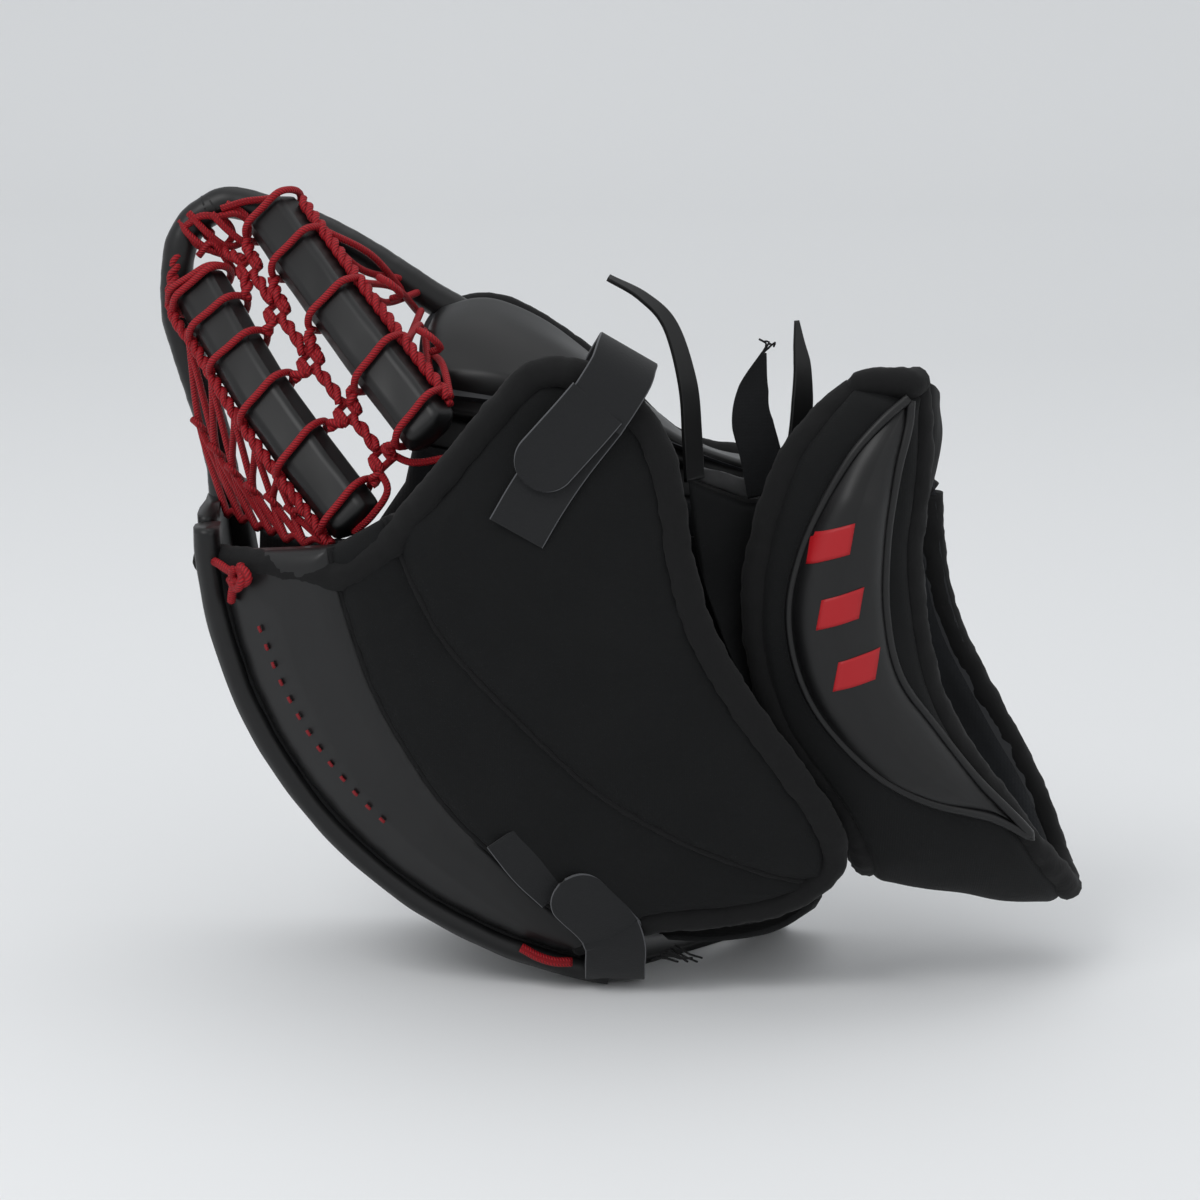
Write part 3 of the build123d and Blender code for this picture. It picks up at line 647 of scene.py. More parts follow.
# catching face, sewn down in shallow lines between the fingers
def palmFaceY(x, z):
    y = bowlY(math.hypot(x - ring["x"], z - ring["z"]))
    groove = 0.0
    for ax, az, bx, bz in ((-20, 188, -146, 158), (-18, 160, -120, 104), (-8, 134, -72, 64)):
        t = min(1, max(0, ((x - ax) * (bx - ax)
                           + (z - az) * (bz - az)) / ((bx - ax) ** 2 + (bz - az) ** 2)))
        d = math.hypot(x - ax - t * (bx - ax), z - az - t * (bz - az))
        groove += 1.8 * math.exp(-(d / 3.2) ** 2)
    return y - groove


palmPad = fanPanel("palmPad", palmPoints, (-20, 130), palmFaceY, [palmLeather, liningKnit], 34,
                   palm["thick"], 7, 1.0, 3.0, 1)
finishPiece(palmPad, "hand", "shell_leather", "palm_leather", "palm_foam", "palm_liner", pad=0.8)
print("palm made")

# thumb: a flat stuffed pad, folded on to the palm by a leather gusset
thumbIn = [[(-80, 9, 231), (-45, 9, 224), (0, 9, 215), (36, 9, 207), (64, 10, 202)],
           [(-82, 36, 244), (-48, 38, 244), (-8, 38, 228), (30, 38, 206), (63, 38, 199)],
           [(-78, 62, 255), (-50, 66, 257), (-14, 66, 236), (24, 62, 204), (60, 60, 198)]]
thumbOut = [[(-80, -6, 251), (-45, -14, 249), (0, -14, 240), (36, -6, 224), (64, -2, 214)],
            [(-82, 14, 270), (-47, 14, 272), (-8, 16, 254), (30, 24, 224), (63, 26, 213)],
            [(-79, 43, 277), (-50, 46, 282), (-14, 47, 260), (24, 48, 221), (60, 50, 210)]]
thumbPad = pillow("thumbPad", thumbIn, thumbOut, [shellLeather], 9, 70, 110, 1.0, 30)
finishPiece(thumbPad, "thumb", "shell_leather", "thumb_cover", "thumb_leather", "thumb_foam", pad=0.8)
thumbEdge = [tuple((np.array(a) + np.array(b)) / 2 + (0, 6, 3.5)) for a, b in zip(thumbIn[2], thumbOut[2])]
thumbRim = tube("thumbRim", thumbEdge, 6.0, edgeTape, 120, 14, lump=0.5)
finishPiece(thumbRim, "thumb", "shell_leather", "thumb_rim_binding")
foldRows = [[(-80, 4, 224), (-40, 3, 215), (10, 3, 205), (58, 3, 196)],
            [(-81, 6, 229), (-40, 5, 220), (10, 5, 210), (60, 5, 201)],
            [(-80, 10, 236), (-40, 10, 229), (10, 10, 218), (62, 10, 206)]]
foldLow = [[(x, y - 5, z + 1) for x, y, z in row] for row in foldRows]
foldGusset = pillow("foldGusset", foldLow, foldRows, [palmLeather], 2, 16, 60, 0.3)
finishPiece(foldGusset, ("hand", "pocket", (-9, 6, 208), (-9, 8, 224)), "shell_leather")
print("thumb made")

# pocket: hoop, two bars and the lacing between them
hoopLow = [(-166, 40, 192), (-168, 48, 206), (-173, 53, 226), (-181, 57, 250), (-187, 60, 272),
           (-186, 63, 296), (-180, 65.5, 309), (-170, 66, 316)]
hoopHigh = [(-174, 66, 314), (-163, 66, 317.5), (-135, 62, 310), (-112, 56, 300), (-95, 52, 290),
            (-78, 50, 279), (-62, 48, 270)]
hoopFinger = tube("hoopFinger", hoopLow, 6.8, shellLeather, 120, 16, lump=0.3)
finishPiece(hoopFinger, ("hand", "pocket", (-166, 44, 200), (-180, 65, 306)), "shell_leather",
            "hoop_finger_side")
hoopThumb = tube("hoopThumb", hoopHigh, 6.8, shellLeather, 100, 16, lump=0.3)
finishPiece(hoopThumb, ("pocket", "thumb", (-135, 62, 309), (-84, 50, 286)), "shell_leather",
            "hoop_thumb_side")

bars = {"upper": [(-146, 53, 315), (-112, 6, 277), (-74, -36, 235)],
        "lower": [(-177, 51, 285), (-145, 6, 243), (-105, -29, 197)],
        "halfWidth": 12.6, "halfThick": 7.6, "endRound": 5.0}


# middle, width direction, outward direction and run of a bar at fraction f of its length
def barFrame(points, f):
    line = spline(points, 201)
    i = min(max(int(round(f * 200)), 0), 200)
    t = line[min(i + 1, 200)] - line[max(i - 1, 0)]
    t /= np.linalg.norm(t)
    wide = np.cross(t, (0, 1, 0))
    wide /= np.linalg.norm(wide)
    return line[i], wide, np.cross(t, wide), t


# leather-wrapped bar: six flat faces with soft arrises, and a lapped seam along the back
def barMesh(name, points):
    corners = [(-1.0, 0.0), (-0.62, -1.0), (0.55, -1.0), (1.0, -0.1), (0.62, 1.0), (-0.6, 1.0)]
    section = []
    for (ax, ay), (bx, by) in zip(corners, corners[1:] + corners[:1]):
        for t in (0.12, 0.2, 0.5, 0.8, 0.88):
            section.append((ax + (bx - ax) * t, ay + (by - ay) * t))
    verts, faces = [], []
    count = 90
    m = len(section)
    length = np.linalg.norm(np.diff(spline(points, 60), axis=0), axis=1).sum()
    for i in range(count):
        f = i / (count - 1)
        p, wide, out, _ = barFrame(points, f)
        cap = 0.62 + 0.38 * float(softEdge(np.array(min(f, 1 - f) * length), bars["endRound"]))
        for k, (c, s) in enumerate(section):
            wave = 0.35 * noise.noise(Vector(p) / 16 + Vector((c * 2, s * 2, 0)))
            verts.append(p + (wide * c * (bars["halfWidth"] + wave)
                              + out * s * (bars["halfThick"] + wave)) * cap)
    for i in range(count - 1):
        for k in range(m):
            n = (k + 1) % m
            faces.append((i * m + k, i * m + n, (i + 1) * m + n, (i + 1) * m + k))
    for base, step in ((0, 1), ((count - 1) * m, -1)):
        centre = np.mean([verts[base + k] for k in range(m)], axis=0)
        verts.append(centre + (barFrame(points, 0 if step > 0 else 1)[3] * -2.0 * step))
        for k in range(m):
            q = (base + k, base + (k + 1) % m, len(verts) - 1)
            faces.append(q[::-1] if step > 0 else q)
    return addMesh(name, verts, faces, [shellLeather])


finishPiece(barMesh("upperBar", bars["upper"]), "pocket", "shell_leather", "bar_upper_cover",
            "bar_upper_core")
finishPiece(barMesh("lowerBar", bars["lower"]), "pocket", "shell_leather", "bar_lower_cover",
            "bar_lower_core")

lace = {"radius": 1.55, "twist": 1.35, "turn": 12.0, "middleTurn": 15, "linkTurn": 11, "front": -2.0,
        "upperTurns": [0.02, 0.20, 0.44, 0.70, 0.93], "lowerTurns": [0.03, 0.16, 0.31, 0.50, 0.70, 0.93],
        "nodes": [0.10, 0.30, 0.52, 0.73, 0.92]}


# two cords wound round each other along a route, one turn in that many mm
def twisted(points, turn, count):
    line = spline(points, count)
    run = np.concatenate([[0], np.cumsum(np.linalg.norm(np.diff(line, axis=0), axis=1))])
    t = np.gradient(line, axis=0)
    t /= np.linalg.norm(t, axis=1)[:, None]
    a = np.cross(t, (0.2, 1, 0.1))
    a /= np.linalg.norm(a, axis=1)[:, None]
    b = np.cross(t, a)
    out = []
    for k in range(2):
        angle = (run / turn * 2 * math.pi + math.pi * k)[:, None]
        out.append([tuple(q) for q in line + (a * np.cos(angle) + b * np.sin(angle)) * lace["twist"]][::2])
    return out


# one turn of lace lying on a bar's six faces
def turnRound(points, f, slant, wobble=0.0):
    w, h = bars["halfWidth"] + lace["radius"], bars["halfThick"] + lace["radius"]
    out = []
    for c, s in [(-1.03, 0), (-0.9, -0.62), (-0.6, -1.02), (0, -1.03), (0.55, -1.02), (0.9, -0.6),
                 (1.03, -0.05), (0.9, 0.6), (0.6, 1.03),
                 (0, 1.04), (-0.6, 1.03), (-0.9, 0.6), (-1.03, 0), (-0.9, -0.62)]:
        p, wide, outDir, t = barFrame(points, min(max(f, 0.015), 0.985))
        out.append(tuple(p + wide * c * w + outDir * s * h + t * (slant * c * 5 + wobble * s)))
    return out


# where a turn of lace leaves a bar on one side
def barSide(points, f, side):
    p, wide = barFrame(points, f)[:2]
    return p + wide * side * (bars["halfWidth"] + lace["radius"]) + np.array((0, lace["front"], 0))


# small tied square where four cords meet
def squareKnot(centre, along, across):
    c, a, b = np.array(centre), np.array(along), np.array(across)
    y = np.array((0, -1, 0))
    return [[tuple(c - a * 4 - b * 3.0), tuple(c - b * 2.6 + y * 1.6), tuple(c + a * 4 - b * 3.0)],
            [tuple(c - a * 4 + b * 3.0), tuple(c + b * 2.6 + y * 1.6), tuple(c + a * 4 + b * 3.0)],
            [tuple(c - b * 4.5 - a * 3.2 + y), tuple(c - a * 3.4 - y * 2.2),
             tuple(c + b * 4.5 - a * 3.2 + y)],
            [tuple(c - b * 4.5 + a * 3.2 + y), tuple(c + a * 3.4 - y * 2.2),
             tuple(c + b * 4.5 + a * 3.2 + y)],
            [tuple(c - b * 4.2 + a * 3.2), tuple(c - b * 5.0 + y * 1.5), tuple(c - b * 4.2 - a * 3.2)],
            [tuple(c + b * 4.2 + a * 3.2), tuple(c + b * 5.0 + y * 1.5), tuple(c + b * 4.2 - a * 3.2)]]


cords = []
for f in lace["upperTurns"]:
    cords.append(turnRound(bars["upper"], f, -0.5 if f > 0.5 else -0.2, 1.0))
for f in lace["lowerTurns"]:
    cords.append(turnRound(bars["lower"], f, -0.5 if f > 0.4 else -0.2, 1.0))
middleRun = []
for f in lace["nodes"]:
    u, wide, _, t = barFrame(bars["upper"], f)
    v = barFrame(bars["lower"], f)[0]
    middleRun.append((u * 0.52 + v * 0.48, wide, t))
for (p, _, t), (q, _, tB) in zip(middleRun, middleRun[1:]):
    cords += twisted([tuple(p + t * 4), tuple((p + q) / 2 + (0.6, -1, 0.5)), tuple(q - tB * 4)],
                     lace["middleTurn"], 24)
for k, (p, wide, t) in enumerate(middleRun):
    cords += squareKnot(p, t, wide)
    above = barSide(bars["upper"], lace["upperTurns"][k], -1)
    below = barSide(bars["lower"], lace["lowerTurns"][min(k + 1, 5)], 1)
    cords += twisted([tuple(p + wide * 4 - t * 2), tuple((p + above) / 2 + (0, -1, 1)), tuple(above)],
                     lace["linkTurn"], 20)
    cords += twisted([tuple(p - wide * 4 + t * 2), tuple((p + below) / 2 + (0, -1, -1)), tuple(below)],
                     lace["linkTurn"], 20)
top = middleRun[0][0]
cords += twisted([(-176, 66, 308), (-168, 58, 299), tuple(top - middleRun[0][2] * 4)], lace["turn"], 26)
last = middleRun[-1][0]
cords.append([tuple(last + (-3, 0, -3)), tuple(last + (2, -5, -12)), tuple(last + (-4, -7, -22)),
              tuple(last + (-12, -4, -30))])
cords.append([tuple(last + (3, 0, 2)), tuple(last + (12, -4, -1)), tuple(last + (24, -7, 1)),
              tuple(last + (34, -9, 4))])
cords.append(turnRound(bars["lower"], 0.0, 0.3))
pocketLace = joinTubes("pocketLace", cords, lace["radius"], knitLaceGrooveShade, 1.5)
finishPiece(pocketLace, "pocket", "red_lace", "bar_upper_wraps", "bar_lower_wraps", "pocket_chain")

# the tied cluster where the lacing is fastened to the hoop
cluster = [[(-188, 60, 312), (-180, 56, 317), (-171, 58, 315), (-168, 62, 308), (-174, 60, 302),
            (-182, 58, 304), (-187, 60, 310)],
           [(-186, 58, 318), (-178, 55, 310), (-170, 57, 304), (-163, 60, 306), (-160, 58, 313),
            (-166, 56, 318), (-175, 57, 316)],
           [(-190, 62, 314), (-186, 57, 309), (-178, 56, 303), (-170, 58, 300), (-164, 56, 300)],
           [(-176, 55, 318), (-169, 54, 311), (-162, 54, 306), (-157, 54, 307), (-153, 54, 314),
            (-148, 54, 322)],
           [(-172, 56, 320), (-162, 56, 323), (-154, 55, 324), (-147, 54, 325)],
           [(-182, 56, 300), (-176, 55, 306), (-170, 56, 298), (-166, 57, 292)],
           [(-170, 58, 322), (-163, 57, 318), (-157, 55, 312)]]
cluster = [[(x + 5, y, z - 4) for x, y, z in run] for run in cluster]
hoopKnots = joinTubes("hoopKnots", cluster, lace["radius"], knitLaceGrooveShade, 1.5)
finishPiece(hoopKnots, "pocket", "red_lace")

# lacing from the upper bar to the thumb, knotted along the bar's edge
edgeAt = [tuple(barSide(bars["upper"], f, 1)) for f in (0.05, 0.22, 0.46, 0.71, 0.95)]
thumbCords = twisted(edgeAt, lace["turn"], 90)
thumbHoles = [(-88, 48, 283), (-84, 44, 278), (-82, 32, 272), (-80, 16, 266)]
for (ax, ay, az), (bx, by, bz) in zip(edgeAt[1:], thumbHoles):
    for s in (-1, 1):
        halfway = ((ax + bx) / 2 + 2 * s, (ay + by) / 2 - 3, (az + bz) / 2 + 3 * s)
        thumbCords.append([(ax, ay, az + 1.5 * s), halfway, (bx, by, bz - 4 * s)])
for x, y, z in ((-93, 6, 289), (-76, -14, 270)):
    thumbCords.append([(x - 5, y + 2, z + 4), (x, y - 3, z + 2), (x + 4, y, z - 3), (x, y + 3, z - 5)])
thumbNet = joinTubes("thumbNet", thumbCords, lace["radius"], knitLaceGrooveShade, 1.6)
finishPiece(thumbNet, ("pocket", "thumb", (-100, 16, 296), (-82, 30, 270)), "red_lace", "thumb_side_lacing")

# lacing from the lower bar down to the fingertips
lowEdge = [(-184, 64, 308)] + [tuple(barSide(bars["lower"], f, -1))
                               for f in (0.0, 0.2, 0.42, 0.62, 0.82, 1.0)]
fingerCords = twisted(lowEdge, lace["turn"], 110)
netTop = [barSide(bars["lower"], f, -1) + (-1, 1, -1) for f in (0.16, 0.33, 0.48, 0.6, 0.72, 0.84, 0.96)]
netMiddle = [(-176, 38, 226), (-168, 27, 217), (-160, 17, 210), (-151, 7, 204), (-142, -3, 201),
             (-133, -12, 198), (-123, -20, 196)]
netLow = [(-164, 26, 190), (-157, 18, 189), (-150, 8, 188), (-143, -2, 188), (-136, -12, 187),
          (-128, -20, 187), (-119, -27, 189)]
for k in range(7):
    up, middle, down = (tuple(row[k]) for row in (netTop, netMiddle, netLow))
    fingerCords.append([up, middle, down])
    if k < 6:
        fingerCords.append([up, tuple(netMiddle[k + 1])])
        fingerCords.append([middle, tuple(netLow[k + 1])])
    mx, my, mz = middle
    fingerCords.append([(mx - 3, my, mz + 3), (mx, my - 3, mz + 1), (mx + 3, my, mz - 3),
                        (mx, my + 2, mz - 4)])
for (ax, ay, az), (bx, by, bz) in zip(netLow, netLow[1:]):
    fingerCords.append([(ax, ay, az), ((ax + bx) / 2, (ay + by) / 2, az + 3), (bx, by, bz)])
fingerNet = joinTubes("fingerNet", fingerCords, lace["radius"], knitLaceGrooveShade, 1.6)
finishPiece(fingerNet, ("hand", "pocket", (-150, 5, 192), (-160, 20, 226)), "red_lace",
            "finger_side_lacing")
knotRoute = [[(-163, 182, 3), (-158, 182, 6), (-152, 180, 7), (-147, 182, 8), (-144, 179, 9),
              (-147, 176, 8), (-151, 178, 8), (-150, 182, 9)],
             [(-149, 183, 6), (-146, 178, 10), (-149, 174, 9), (-153, 177, 7)],
             [(-150, 177, 8), (-152, 172, 7), (-154, 167, 5)]]
tipKnot = joinTubes("tipKnot", [[tuple(onBack(*p)) for p in run] for run in knotRoute], 1.8, knitLaceGrooveShade, 1.2)
finishPiece(tipKnot, "hand", "red_lace", "fingertip_knot")
edgeLace = joinTubes("edgeLace", [[(-40, -33, 19), (-33, -34.5, 15.5), (-26, -35, 13.5), (-19, -34, 13)]],
                     2.0, knitLaceGrooveShade, 1.5)
finishPiece(edgeLace, "hand", "red_lace", "edge_lace_end")
print("pocket laced")

# closing straps: webbing, hook patch on the back, loop tab on top
tabEdge = [loopTape, wornEdge]
bend = [(-10, -76.5, 249), (-4, -76, 258), (1, -73, 266), (3, -67, 271), (4, -58, 272.5), (3, -50, 270),
        (-2, -44, 260), (-6, -41, 246)]
upperStrap = strap("upperStrap", bend, 26, (0.86, 0, -0.5), 2.4, tabEdge, count=60)
finishPiece(upperStrap, ("hand", "upper_tab", (-2, -70, 264), (-8, -74, 252)), "webbing", "upper_strap")
tabRun = [onBack(-8, 254, 8.2), onBack(-14, 247, 8.4), onBack(-22, 238, 8.0), onBack(-30, 229, 7.6),
          onBack(-36, 222, 7.4)]
upperTab = strap("upperTab", tabRun, 25, (0.82, 0, -0.57), 2.6, tabEdge, count=44, roundTip=12, cup=0.8)
finishPiece(upperTab, "upper_tab", "loop_tab", "upper_strap_tab")
patchRun = [onBack(-8, 249, 3.6), onBack(-22, 231, 4.6), onBack(-32, 216, 4.8), onBack(-40, 202, 4.8)]
upperPatch = strap("upperPatch", patchRun, 24, (0.87, 0, -0.49), 1.8, [hookTape, wornEdge], count=40)
finishPiece(upperPatch, "hand", "hook_tape", "upper_hook_patch")
lowerWrap = [onBack(-3, 33, 4.8), (-1, -45.5, 23.5), (-1, -40, 14), (-1, -33, 7), (-1, -24, 3.2),
             (-1, -10.5, 2.6)]
lowerStrap = strap("lowerStrap", lowerWrap, 25, (1, 0, 0), 2.2, tabEdge, count=50)
finishPiece(lowerStrap, ("hand", "lower_tab", (-1, -42, 17), (-2, -46, 27)), "webbing", "lower_strap")
lowTabRun = [onBack(0, 28, 4.8), onBack(-6, 38, 5.2), onBack(-14, 47, 5.4), onBack(-22, 56, 5.2)]
lowerTab = strap("lowerTab", lowTabRun, 25, (0.86, 0, 0.5), 2.6, tabEdge, count=40, roundTip=11, cup=1.0)
finishPiece(lowerTab, "lower_tab", "loop_tab", "lower_strap_tab")
lowPatchRun = [onBack(-22, 50, 1.6), onBack(-33, 62, 1.9), onBack(-43, 76, 1.7)]
lowerPatch = strap("lowerPatch", lowPatchRun, 24, (0.78, 0, 0.62), 1.8, [hookTape, wornEdge], count=36)
finishPiece(lowerPatch, "hand", "hook_tape", "lower_hook_patch")
fray = joinTubes("frayedThreads", [[(14 + 2 * k, -38 + k, 15 + k), (19 + 2 * k, -41, 17 + (k % 3)),
                                    (25 + 2 * k, -40 - k % 2, 15 + 2 * (k % 2))]
                                   for k in range(6)], 0.5, edgeTape, 1.5, 6)
finishPiece(fray, "hand", "webbing")
print("straps made")

# the hand opening and the strap ends that stand in it
gussetRows = [[(28, -44, 218), (42, -38, 211), (58, -32, 207), (76, -31, 226)],
              [(32, -44, 186), (46, -38, 180), (60, -33, 178), (74, -31, 180)],
              [(42, -44, 154), (52, -38, 150), (62, -33, 148), (76, -31, 148)],
              [(56, -42, 124), (66, -36, 120), (76, -32, 118), (88, -31, 116)],
              [(74, -40, 98), (82, -35, 95), (88, -32, 94), (97, -31, 92)]]
gussetLow = [[(x, y + 2.6, z) for x, y, z in row] for row in gussetRows]
wristGusset = pillow("wristGusset", gussetLow, gussetRows, [backNylon], 3, 60, 40, 1.6, 16)
finishPiece(wristGusset, ("hand", "cuff", (36, -30, 160), (84, -30, 160)), "back_nylon", "wrist_gusset")
flapRows = [[(28, -17, 221), (40, -14, 217), (56, -12, 213.5), (68, -15, 222), (80, -19, 242)],
            [(30, -10, 213), (42, -8, 208), (57, -7, 204), (69, -9, 213), (80, -13, 232)]]
flapLow = [[(x, y + 2.2, z - 1.4) for x, y, z in row] for row in flapRows]
openingFlap = pillow("openingFlap", flapLow, flapRows, [paleLeather], 1.5, 20, 60, 1.5, 14)
finishPiece(openingFlap, "hand", "grey_leather", "opening_flap")
curvedEnd = strap("curvedEnd", [(31, -22, 214), (30, -23, 232), (28, -23, 254), (21, -21, 277),
                                (10, -19, 288.5), (-4, -17, 296)], 10, (0.75, 0.66, 0.0), 2.6,
                  [shellLeather], [1, 1, 0.95, 0.8, 0.6, 0.3], count=60)
finishPiece(curvedEnd, "hand", "shell_leather", "strap_end_curved")
ribbonEnd = strap("ribbonEnd", [(61, -22, 208), (58, -22, 224), (54, -22, 240), (55, -21, 252),
                                (59, -20, 266)], 17, (0.98, 0.1, 0.15), 1.8, [webbing],
                  [1, 1, 1, 0.72, 0.12], count=60)
finishPiece(ribbonEnd, "hand", "webbing", "strap_end_ribbon")
threads = joinTubes("ribbonThreads", [[(58, -18, 265), (60 + k, -18 - k, 269 + (k % 2)),
                                       (57 + 2 * k, -17, 271 - k)] for k in range(4)], 0.45, edgeTape, 1.2,
                    6)
finishPiece(threads, "hand", "webbing")
pointedEnd = strap("pointedEnd", [(71, -23, 214), (74, -23, 238), (74.5, -22, 258), (73, -21, 270),
                                  (72, -20, 279)], 11, (0.8, 0.6, 0), 2.6, [shellLeather],
                   [0.8, 1, 0.95, 0.7, 0.12], count=60)
finishPiece(pointedEnd, "hand", "shell_leather", "strap_end_pointed")
print("hand opening made")

# cuff wall, from its top corner down the near side, round the end and back up the far side
cuffIn = [[(101, -34, 248), (107, -37, 251), (110, -36, 253), (113, -32, 254)],
          [(73, -36, 222), (90, -41, 224), (104, -40, 226), (116, -34, 228)],
          [(60, -37, 172), (82, -44, 174), (98, -43, 176), (113, -36, 178)],
          [(68, -37, 124), (90, -43, 123), (109, -41, 122), (126, -34, 121)],
          [(96, -34, 86), (116, -37, 82), (138, -33, 78), (159, -26, 75)],
          [(107, -14, 58), (132, -14, 54), (159, -9, 50), (185, -2, 47)],
          [(106, 12, 60), (133, 14, 51), (162, 17, 44), (190, 20, 40)],
          [(100, 27, 92), (125, 30, 84), (152, 32, 77), (176, 33, 73)],
          [(94, 30, 148), (110, 34, 148), (124, 35, 148), (137, 34, 147)],
          [(93, 27, 200), (105, 31, 205), (117, 33, 209), (128, 31, 213)]]
cuffWall = {"thick": 14.0, "rows": 110, "columns": 60, "edge": 8, "lump": 1.6, "lumpSize": 30}
inner = patch(cuffIn, cuffWall["rows"], cuffWall["columns"])
outward = gridNormals(inner)
if outward[30, 20, 1] > 0:
    outward = -outward
cuffOuter = inner + outward * cuffWall["thick"]
middleWall = (inner + cuffOuter) / 2


wallPuff = softEdge(edgeDistance(middleWall), cuffWall["edge"])[:, :, None]
wallRoll = roll(middleWall.reshape(-1, 3), cuffWall["lump"], cuffWall["lumpSize"])
wallWave = outward * wallRoll.reshape(cuffWall["rows"], cuffWall["columns"])[:, :, None] * wallPuff
wallPiece = closedGrid("cuffWall", middleWall + (cuffOuter - middleWall) * wallPuff + wallWave,
                       middleWall + (inner - middleWall) * wallPuff + wallWave, [backNylon, liningKnit], 1)
finishPiece(wallPiece, "cuff", "back_nylon", "cuff_cover", "cuff_foam", "cuff_liner", pad=0.8)
nearSide = cuffOuter[:62].reshape(-1, 3)   # rows of the near wall


# y of a face over (x, z), from the nearest few of its points
def faceY(points, x, z, count, ease):
    d = (points[:, 0] - x) ** 2 + (points[:, 2] - z) ** 2
    near = np.argsort(d)[:count]
    w = 1 / (d[near] + ease)
    return float((points[near, 1] * w).sum() / w.sum())


def cuffFaceY(x, z):
    return faceY(nearSide, x, z, 6, 0.5)


leafLeft = [(115, 252), (104, 243), (90, 226), (74, 194), (68.5, 163), (77, 131), (99, 104), (124, 88),
            (152, 78.5), (170, 68)]
leafRight = [(116, 251), (115, 240), (111, 224), (107, 196), (107, 166), (113, 140), (128, 118), (145, 96),
             (160, 80), (171, 68)]
leaf = {"rise": 7.5, "sink": 0.5, "edge": 9, "rows": 110, "columns": 40, "lump": 1.0, "lumpSize": 22}


# leather pad raised on the near wall, between its two edges
def leafPad(left, right):
    rows, columns = leaf["rows"], leaf["columns"]
    a, b = spline(left, rows), spline(right, rows)
    v = np.linspace(0, 1, columns)
    width = np.linalg.norm(a - b, axis=1)
    run = np.linspace(0, 190, rows)   # its length along the cuff
    top = np.zeros((rows, columns, 3))
    low = np.zeros_like(top)
    for i in range(rows):
        for j in range(columns):
            x, z = a[i] * (1 - v[j]) + b[i] * v[j]
            d = min(min(v[j], 1 - v[j]) * width[i], min(run[i], run[-1] - run[i]))
            y = cuffFaceY(x, z)
            puff = float(softEdge(np.array(d), leaf["edge"])) * min(1, width[i] / 26)
            wave = leaf["lump"] * noise.noise(Vector((x, z, 7)) / leaf["lumpSize"])
            top[i, j] = (x, y - leaf["rise"] * puff - 2.5 * min(1, d / 18) + leaf["sink"] + wave * puff, z)
            low[i, j] = (x, y + leaf["sink"] + 2.5, z)
    return closedGrid("cuffPad", top, low, [shellLeather])


cuffPad = leafPad(leafLeft, leafRight)
finishPiece(cuffPad, "cuff", "shell_leather", "cuff_pad", pad=0.8)
leafRim = list(spline(leafLeft, 26)) + list(spline(leafRight, 26)[::-1][1:])
leafLoop = [(x, cuffFaceY(x, z) - 1.5, z) for x, z in leafRim]
leafPiping = tube("leafPiping", leafLoop, 2.0, shellLeather, 220, 10)
finishPiece(leafPiping, "cuff", "shell_leather")

# three plain slanted bars of red film on the pad
mark = {"at": ((84, 196), (88, 170), (95, 145)), "width": 17, "height": 12.4, "slant": 5, "lean": 1.9967,
        "proud": 0.5, "thick": 0.8, "steps": 9}
padPoints = np.array([v.co for v in cuffPad.data.vertices]) / mm - place
padFront = padPoints[:leaf["rows"] * leaf["columns"]]
front, sheet, rim = [], [], []
for x, z in mark["at"]:
    start, steps = len(front), mark["steps"]
    for i in range(steps):
        for j in range(steps):
            u, v = i / (steps - 1) - 0.5, j / (steps - 1) - 0.5
            px = x + u * mark["width"] + v * mark["lean"]
            pz = z + v * mark["height"] + u * mark["slant"]
            front.append((px, faceY(padFront, px, pz, 4, 0.2) - mark["proud"], pz))
    for i in range(steps - 1):
        for j in range(steps - 1):
            a = start + i * steps + j
            sheet.append((a, a + 1, a + steps + 1, a + steps))
    last = steps - 1
    loop = [start + i * steps for i in range(steps)] + [start + last * steps + j for j in range(1, steps)]
    loop += [start + i * steps + last for i in range(last - 1, -1, -1)]
    loop += [start + j for j in range(last - 1, 0, -1)]
    rim += list(zip(loop, loop[1:] + loop[:1]))
back = [(x, y + mark["thick"], z) for x, y, z in front]
off = len(front)
faces = sheet + [tuple(off + v for v in f[::-1])
                 for f in sheet] + [(a, b, off + b, off + a) for a, b in rim]
cuffMark = addMesh("cuffMark", front + back, faces, [redPrint])
finishPiece(cuffMark, "cuff", "red_print", "cuff_mark")



# line just off one long edge of the cuff wall, where its binding runs
def wallEdge(column, beside):
    runs = middleWall[::5, column], middleWall[::5, beside]
    away = (runs[0] - runs[1]) / np.linalg.norm(runs[0] - runs[1], axis=1)[:, None]
    return [tuple(p) for p in runs[0] + away * 2]


handRun = wallEdge(0, 1)
armRun = wallEdge(-1, -2)
cuffHandEdge = tube("cuffHandEdge", handRun, 6.6, edgeTape, 220, 14, lump=0.9)
finishPiece(cuffHandEdge, "cuff", "edge_binding", "cuff_hand_edge")
cuffArmEdge = tube("cuffArmEdge", armRun, 5.6, edgeTape, 220, 14, lump=0.9)
finishPiece(cuffArmEdge, "cuff", "edge_binding", "cuff_arm_edge")
topRun = [handRun[0], tuple(middleWall[0, 15] + (0, 0, 3)), tuple(middleWall[0, 40] + (0, 0, 4)), armRun[0]]
cuffTopEdge = tube("cuffTopEdge", topRun, 6.2, edgeTape, 50, 14, lump=0.8)
finishPiece(cuffTopEdge, "cuff", "edge_binding")
endRun = [tuple(p) for p in (handRun[-1], middleWall[-1, 20] + (0, 0, 3), middleWall[-1, 40] + (0, 0, 3),
                             armRun[-1])]
cuffEndEdge = tube("cuffEndEdge", endRun, 5.6, edgeTape, 50, 14, lump=0.8)
finishPiece(cuffEndEdge, "cuff", "edge_binding")
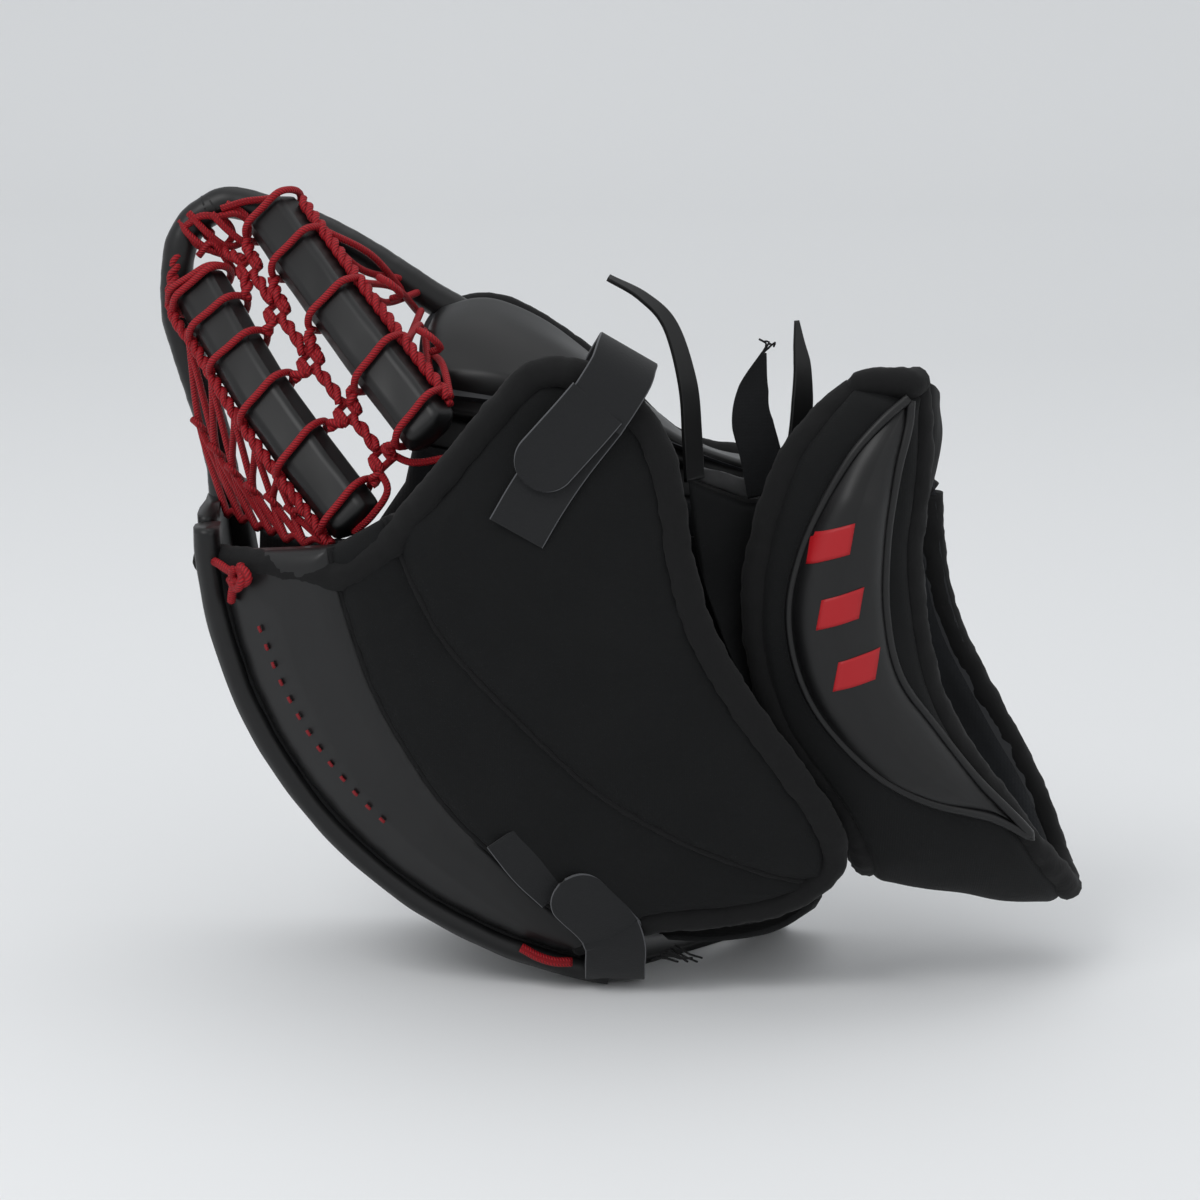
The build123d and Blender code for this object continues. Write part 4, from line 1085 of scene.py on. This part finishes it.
curlRows = [[(113, -41, 257), (118, -41, 230), (116, -41, 196), (119, -40, 160)],
            [(125, -35, 257), (127, -34, 230), (121, -35, 196), (121, -37, 160)],
            [(131, -20, 250), (131, -19, 226), (123, -25, 194), (122, -33, 160)],
            [(126, -6, 243), (127, -8, 221), (120, -18, 192), (120, -30, 160)]]
curlLow = [[(x - 4, y + 3, z - 1) for x, y, z in row] for row in curlRows]
cuffCurl = pillow("cuffCurl", curlLow, curlRows, [backNylon], 3, 40, 60, 1.4, 14)
finishPiece(cuffCurl, "cuff", "back_nylon")
label = strap("sewnLabel", [(123.5, 31.5, 166), (125, 31, 156), (128, 31, 146)], 8, (0.97, 0.05, 0.1), 1.0,
              [labelSatin], count=14)
finishPiece(label, "cuff", "label_cloth", "cuff_label")
print("cuff made")

# thin red dashes along the finger strip, in place of printing
dashRuns = []
dashLine = spline([(-143, 158), (-134, 134), (-121, 110), (-104, 88), (-90, 74)], 40)
for k in range(0, 38, 3):
    a, b = dashLine[k], dashLine[k + 1]
    dashRuns.append([tuple(onBack(a[0], a[1], 4.6)),
                     tuple(onBack((a[0] + b[0]) / 2, (a[1] + b[1]) / 2, 4.8)),
                     tuple(onBack(b[0], b[1], 4.6))])
stripDashes = joinTubes("stripDashes", dashRuns, 0.7, stripPrint, 1.0, 6)
finishPiece(stripDashes, "hand", "red_print")

# floor, light and camera
studio = {"floor": "#e6e7e8", "world": "#eff1f3", "worldStrength": 0.86}
rows = [(-4000, 0), (1800, 0), (2400, 60), (2900, 300), (3200, 800), (3300, 4200)]
verts = [(x, y, z) for y, z in rows for x in (-6000, 6000)]
faces = [(2 * i, 2 * i + 1, 2 * i + 3, 2 * i + 2) for i in range(len(rows) - 1)]
floorMaterial = newMaterial("pale studio floor", studio["floor"], 0.7)[0]   # matt painted board
floor = addMesh("floor", verts, faces, [floorMaterial])
world = bpy.data.worlds.new("studio")
bpy.context.scene.world = world
world.use_nodes = True
world.node_tree.nodes["Background"].inputs["Color"].default_value = linear(studio["world"])
world.node_tree.nodes["Background"].inputs["Strength"].default_value = studio["worldStrength"]


def softbox(name, at, target, width, height, watts):
    light = bpy.data.lights.new(name, "AREA")
    light.shape = "RECTANGLE"
    light.size = width
    light.size_y = height
    light.energy = watts
    obj = bpy.data.objects.new(name, light)
    obj.location = at
    obj.rotation_euler = (Vector(target) - Vector(at)).to_track_quat("-Z", "Y").to_euler()
    bpy.context.scene.collection.objects.link(obj)


# name: place and aim in metres, width and height in metres, watts
softboxes = {"keyBox": ((-1.1, -1.2, 1.9), (0, 0, 0.15), 1.0, 1.0, 16),
             "topBox": ((0.2, 0.5, 2.2), (0, 0, 0.1), 1.6, 1.4, 5),
             "fillBox": ((1.6, -1.4, 1.0), (0, 0, 0.15), 1.2, 1.2, 3)}
for boxName, settings in softboxes.items():
    softbox(boxName, *settings)
camera = {"at": (-7.3, -1467.2, 477.1), "tiltDeg": 77.78, "fieldDeg": 18.86}
bpy.context.scene.view_settings.view_transform = "Standard"
bpy.context.scene.view_settings.look = "None"
lens = bpy.data.cameras.new("camera")
lens.sensor_width = 36
lens.angle = math.radians(camera["fieldDeg"])
cameraObject = bpy.data.objects.new("camera", lens)
cameraObject.location = ((np.array(camera["at"]) + place) * mm).tolist()
cameraObject.rotation_euler = (math.radians(camera["tiltDeg"]), 0, 0)
bpy.context.scene.collection.objects.link(cameraObject)
bpy.context.scene.camera = cameraObject
print("floor, light and camera set")
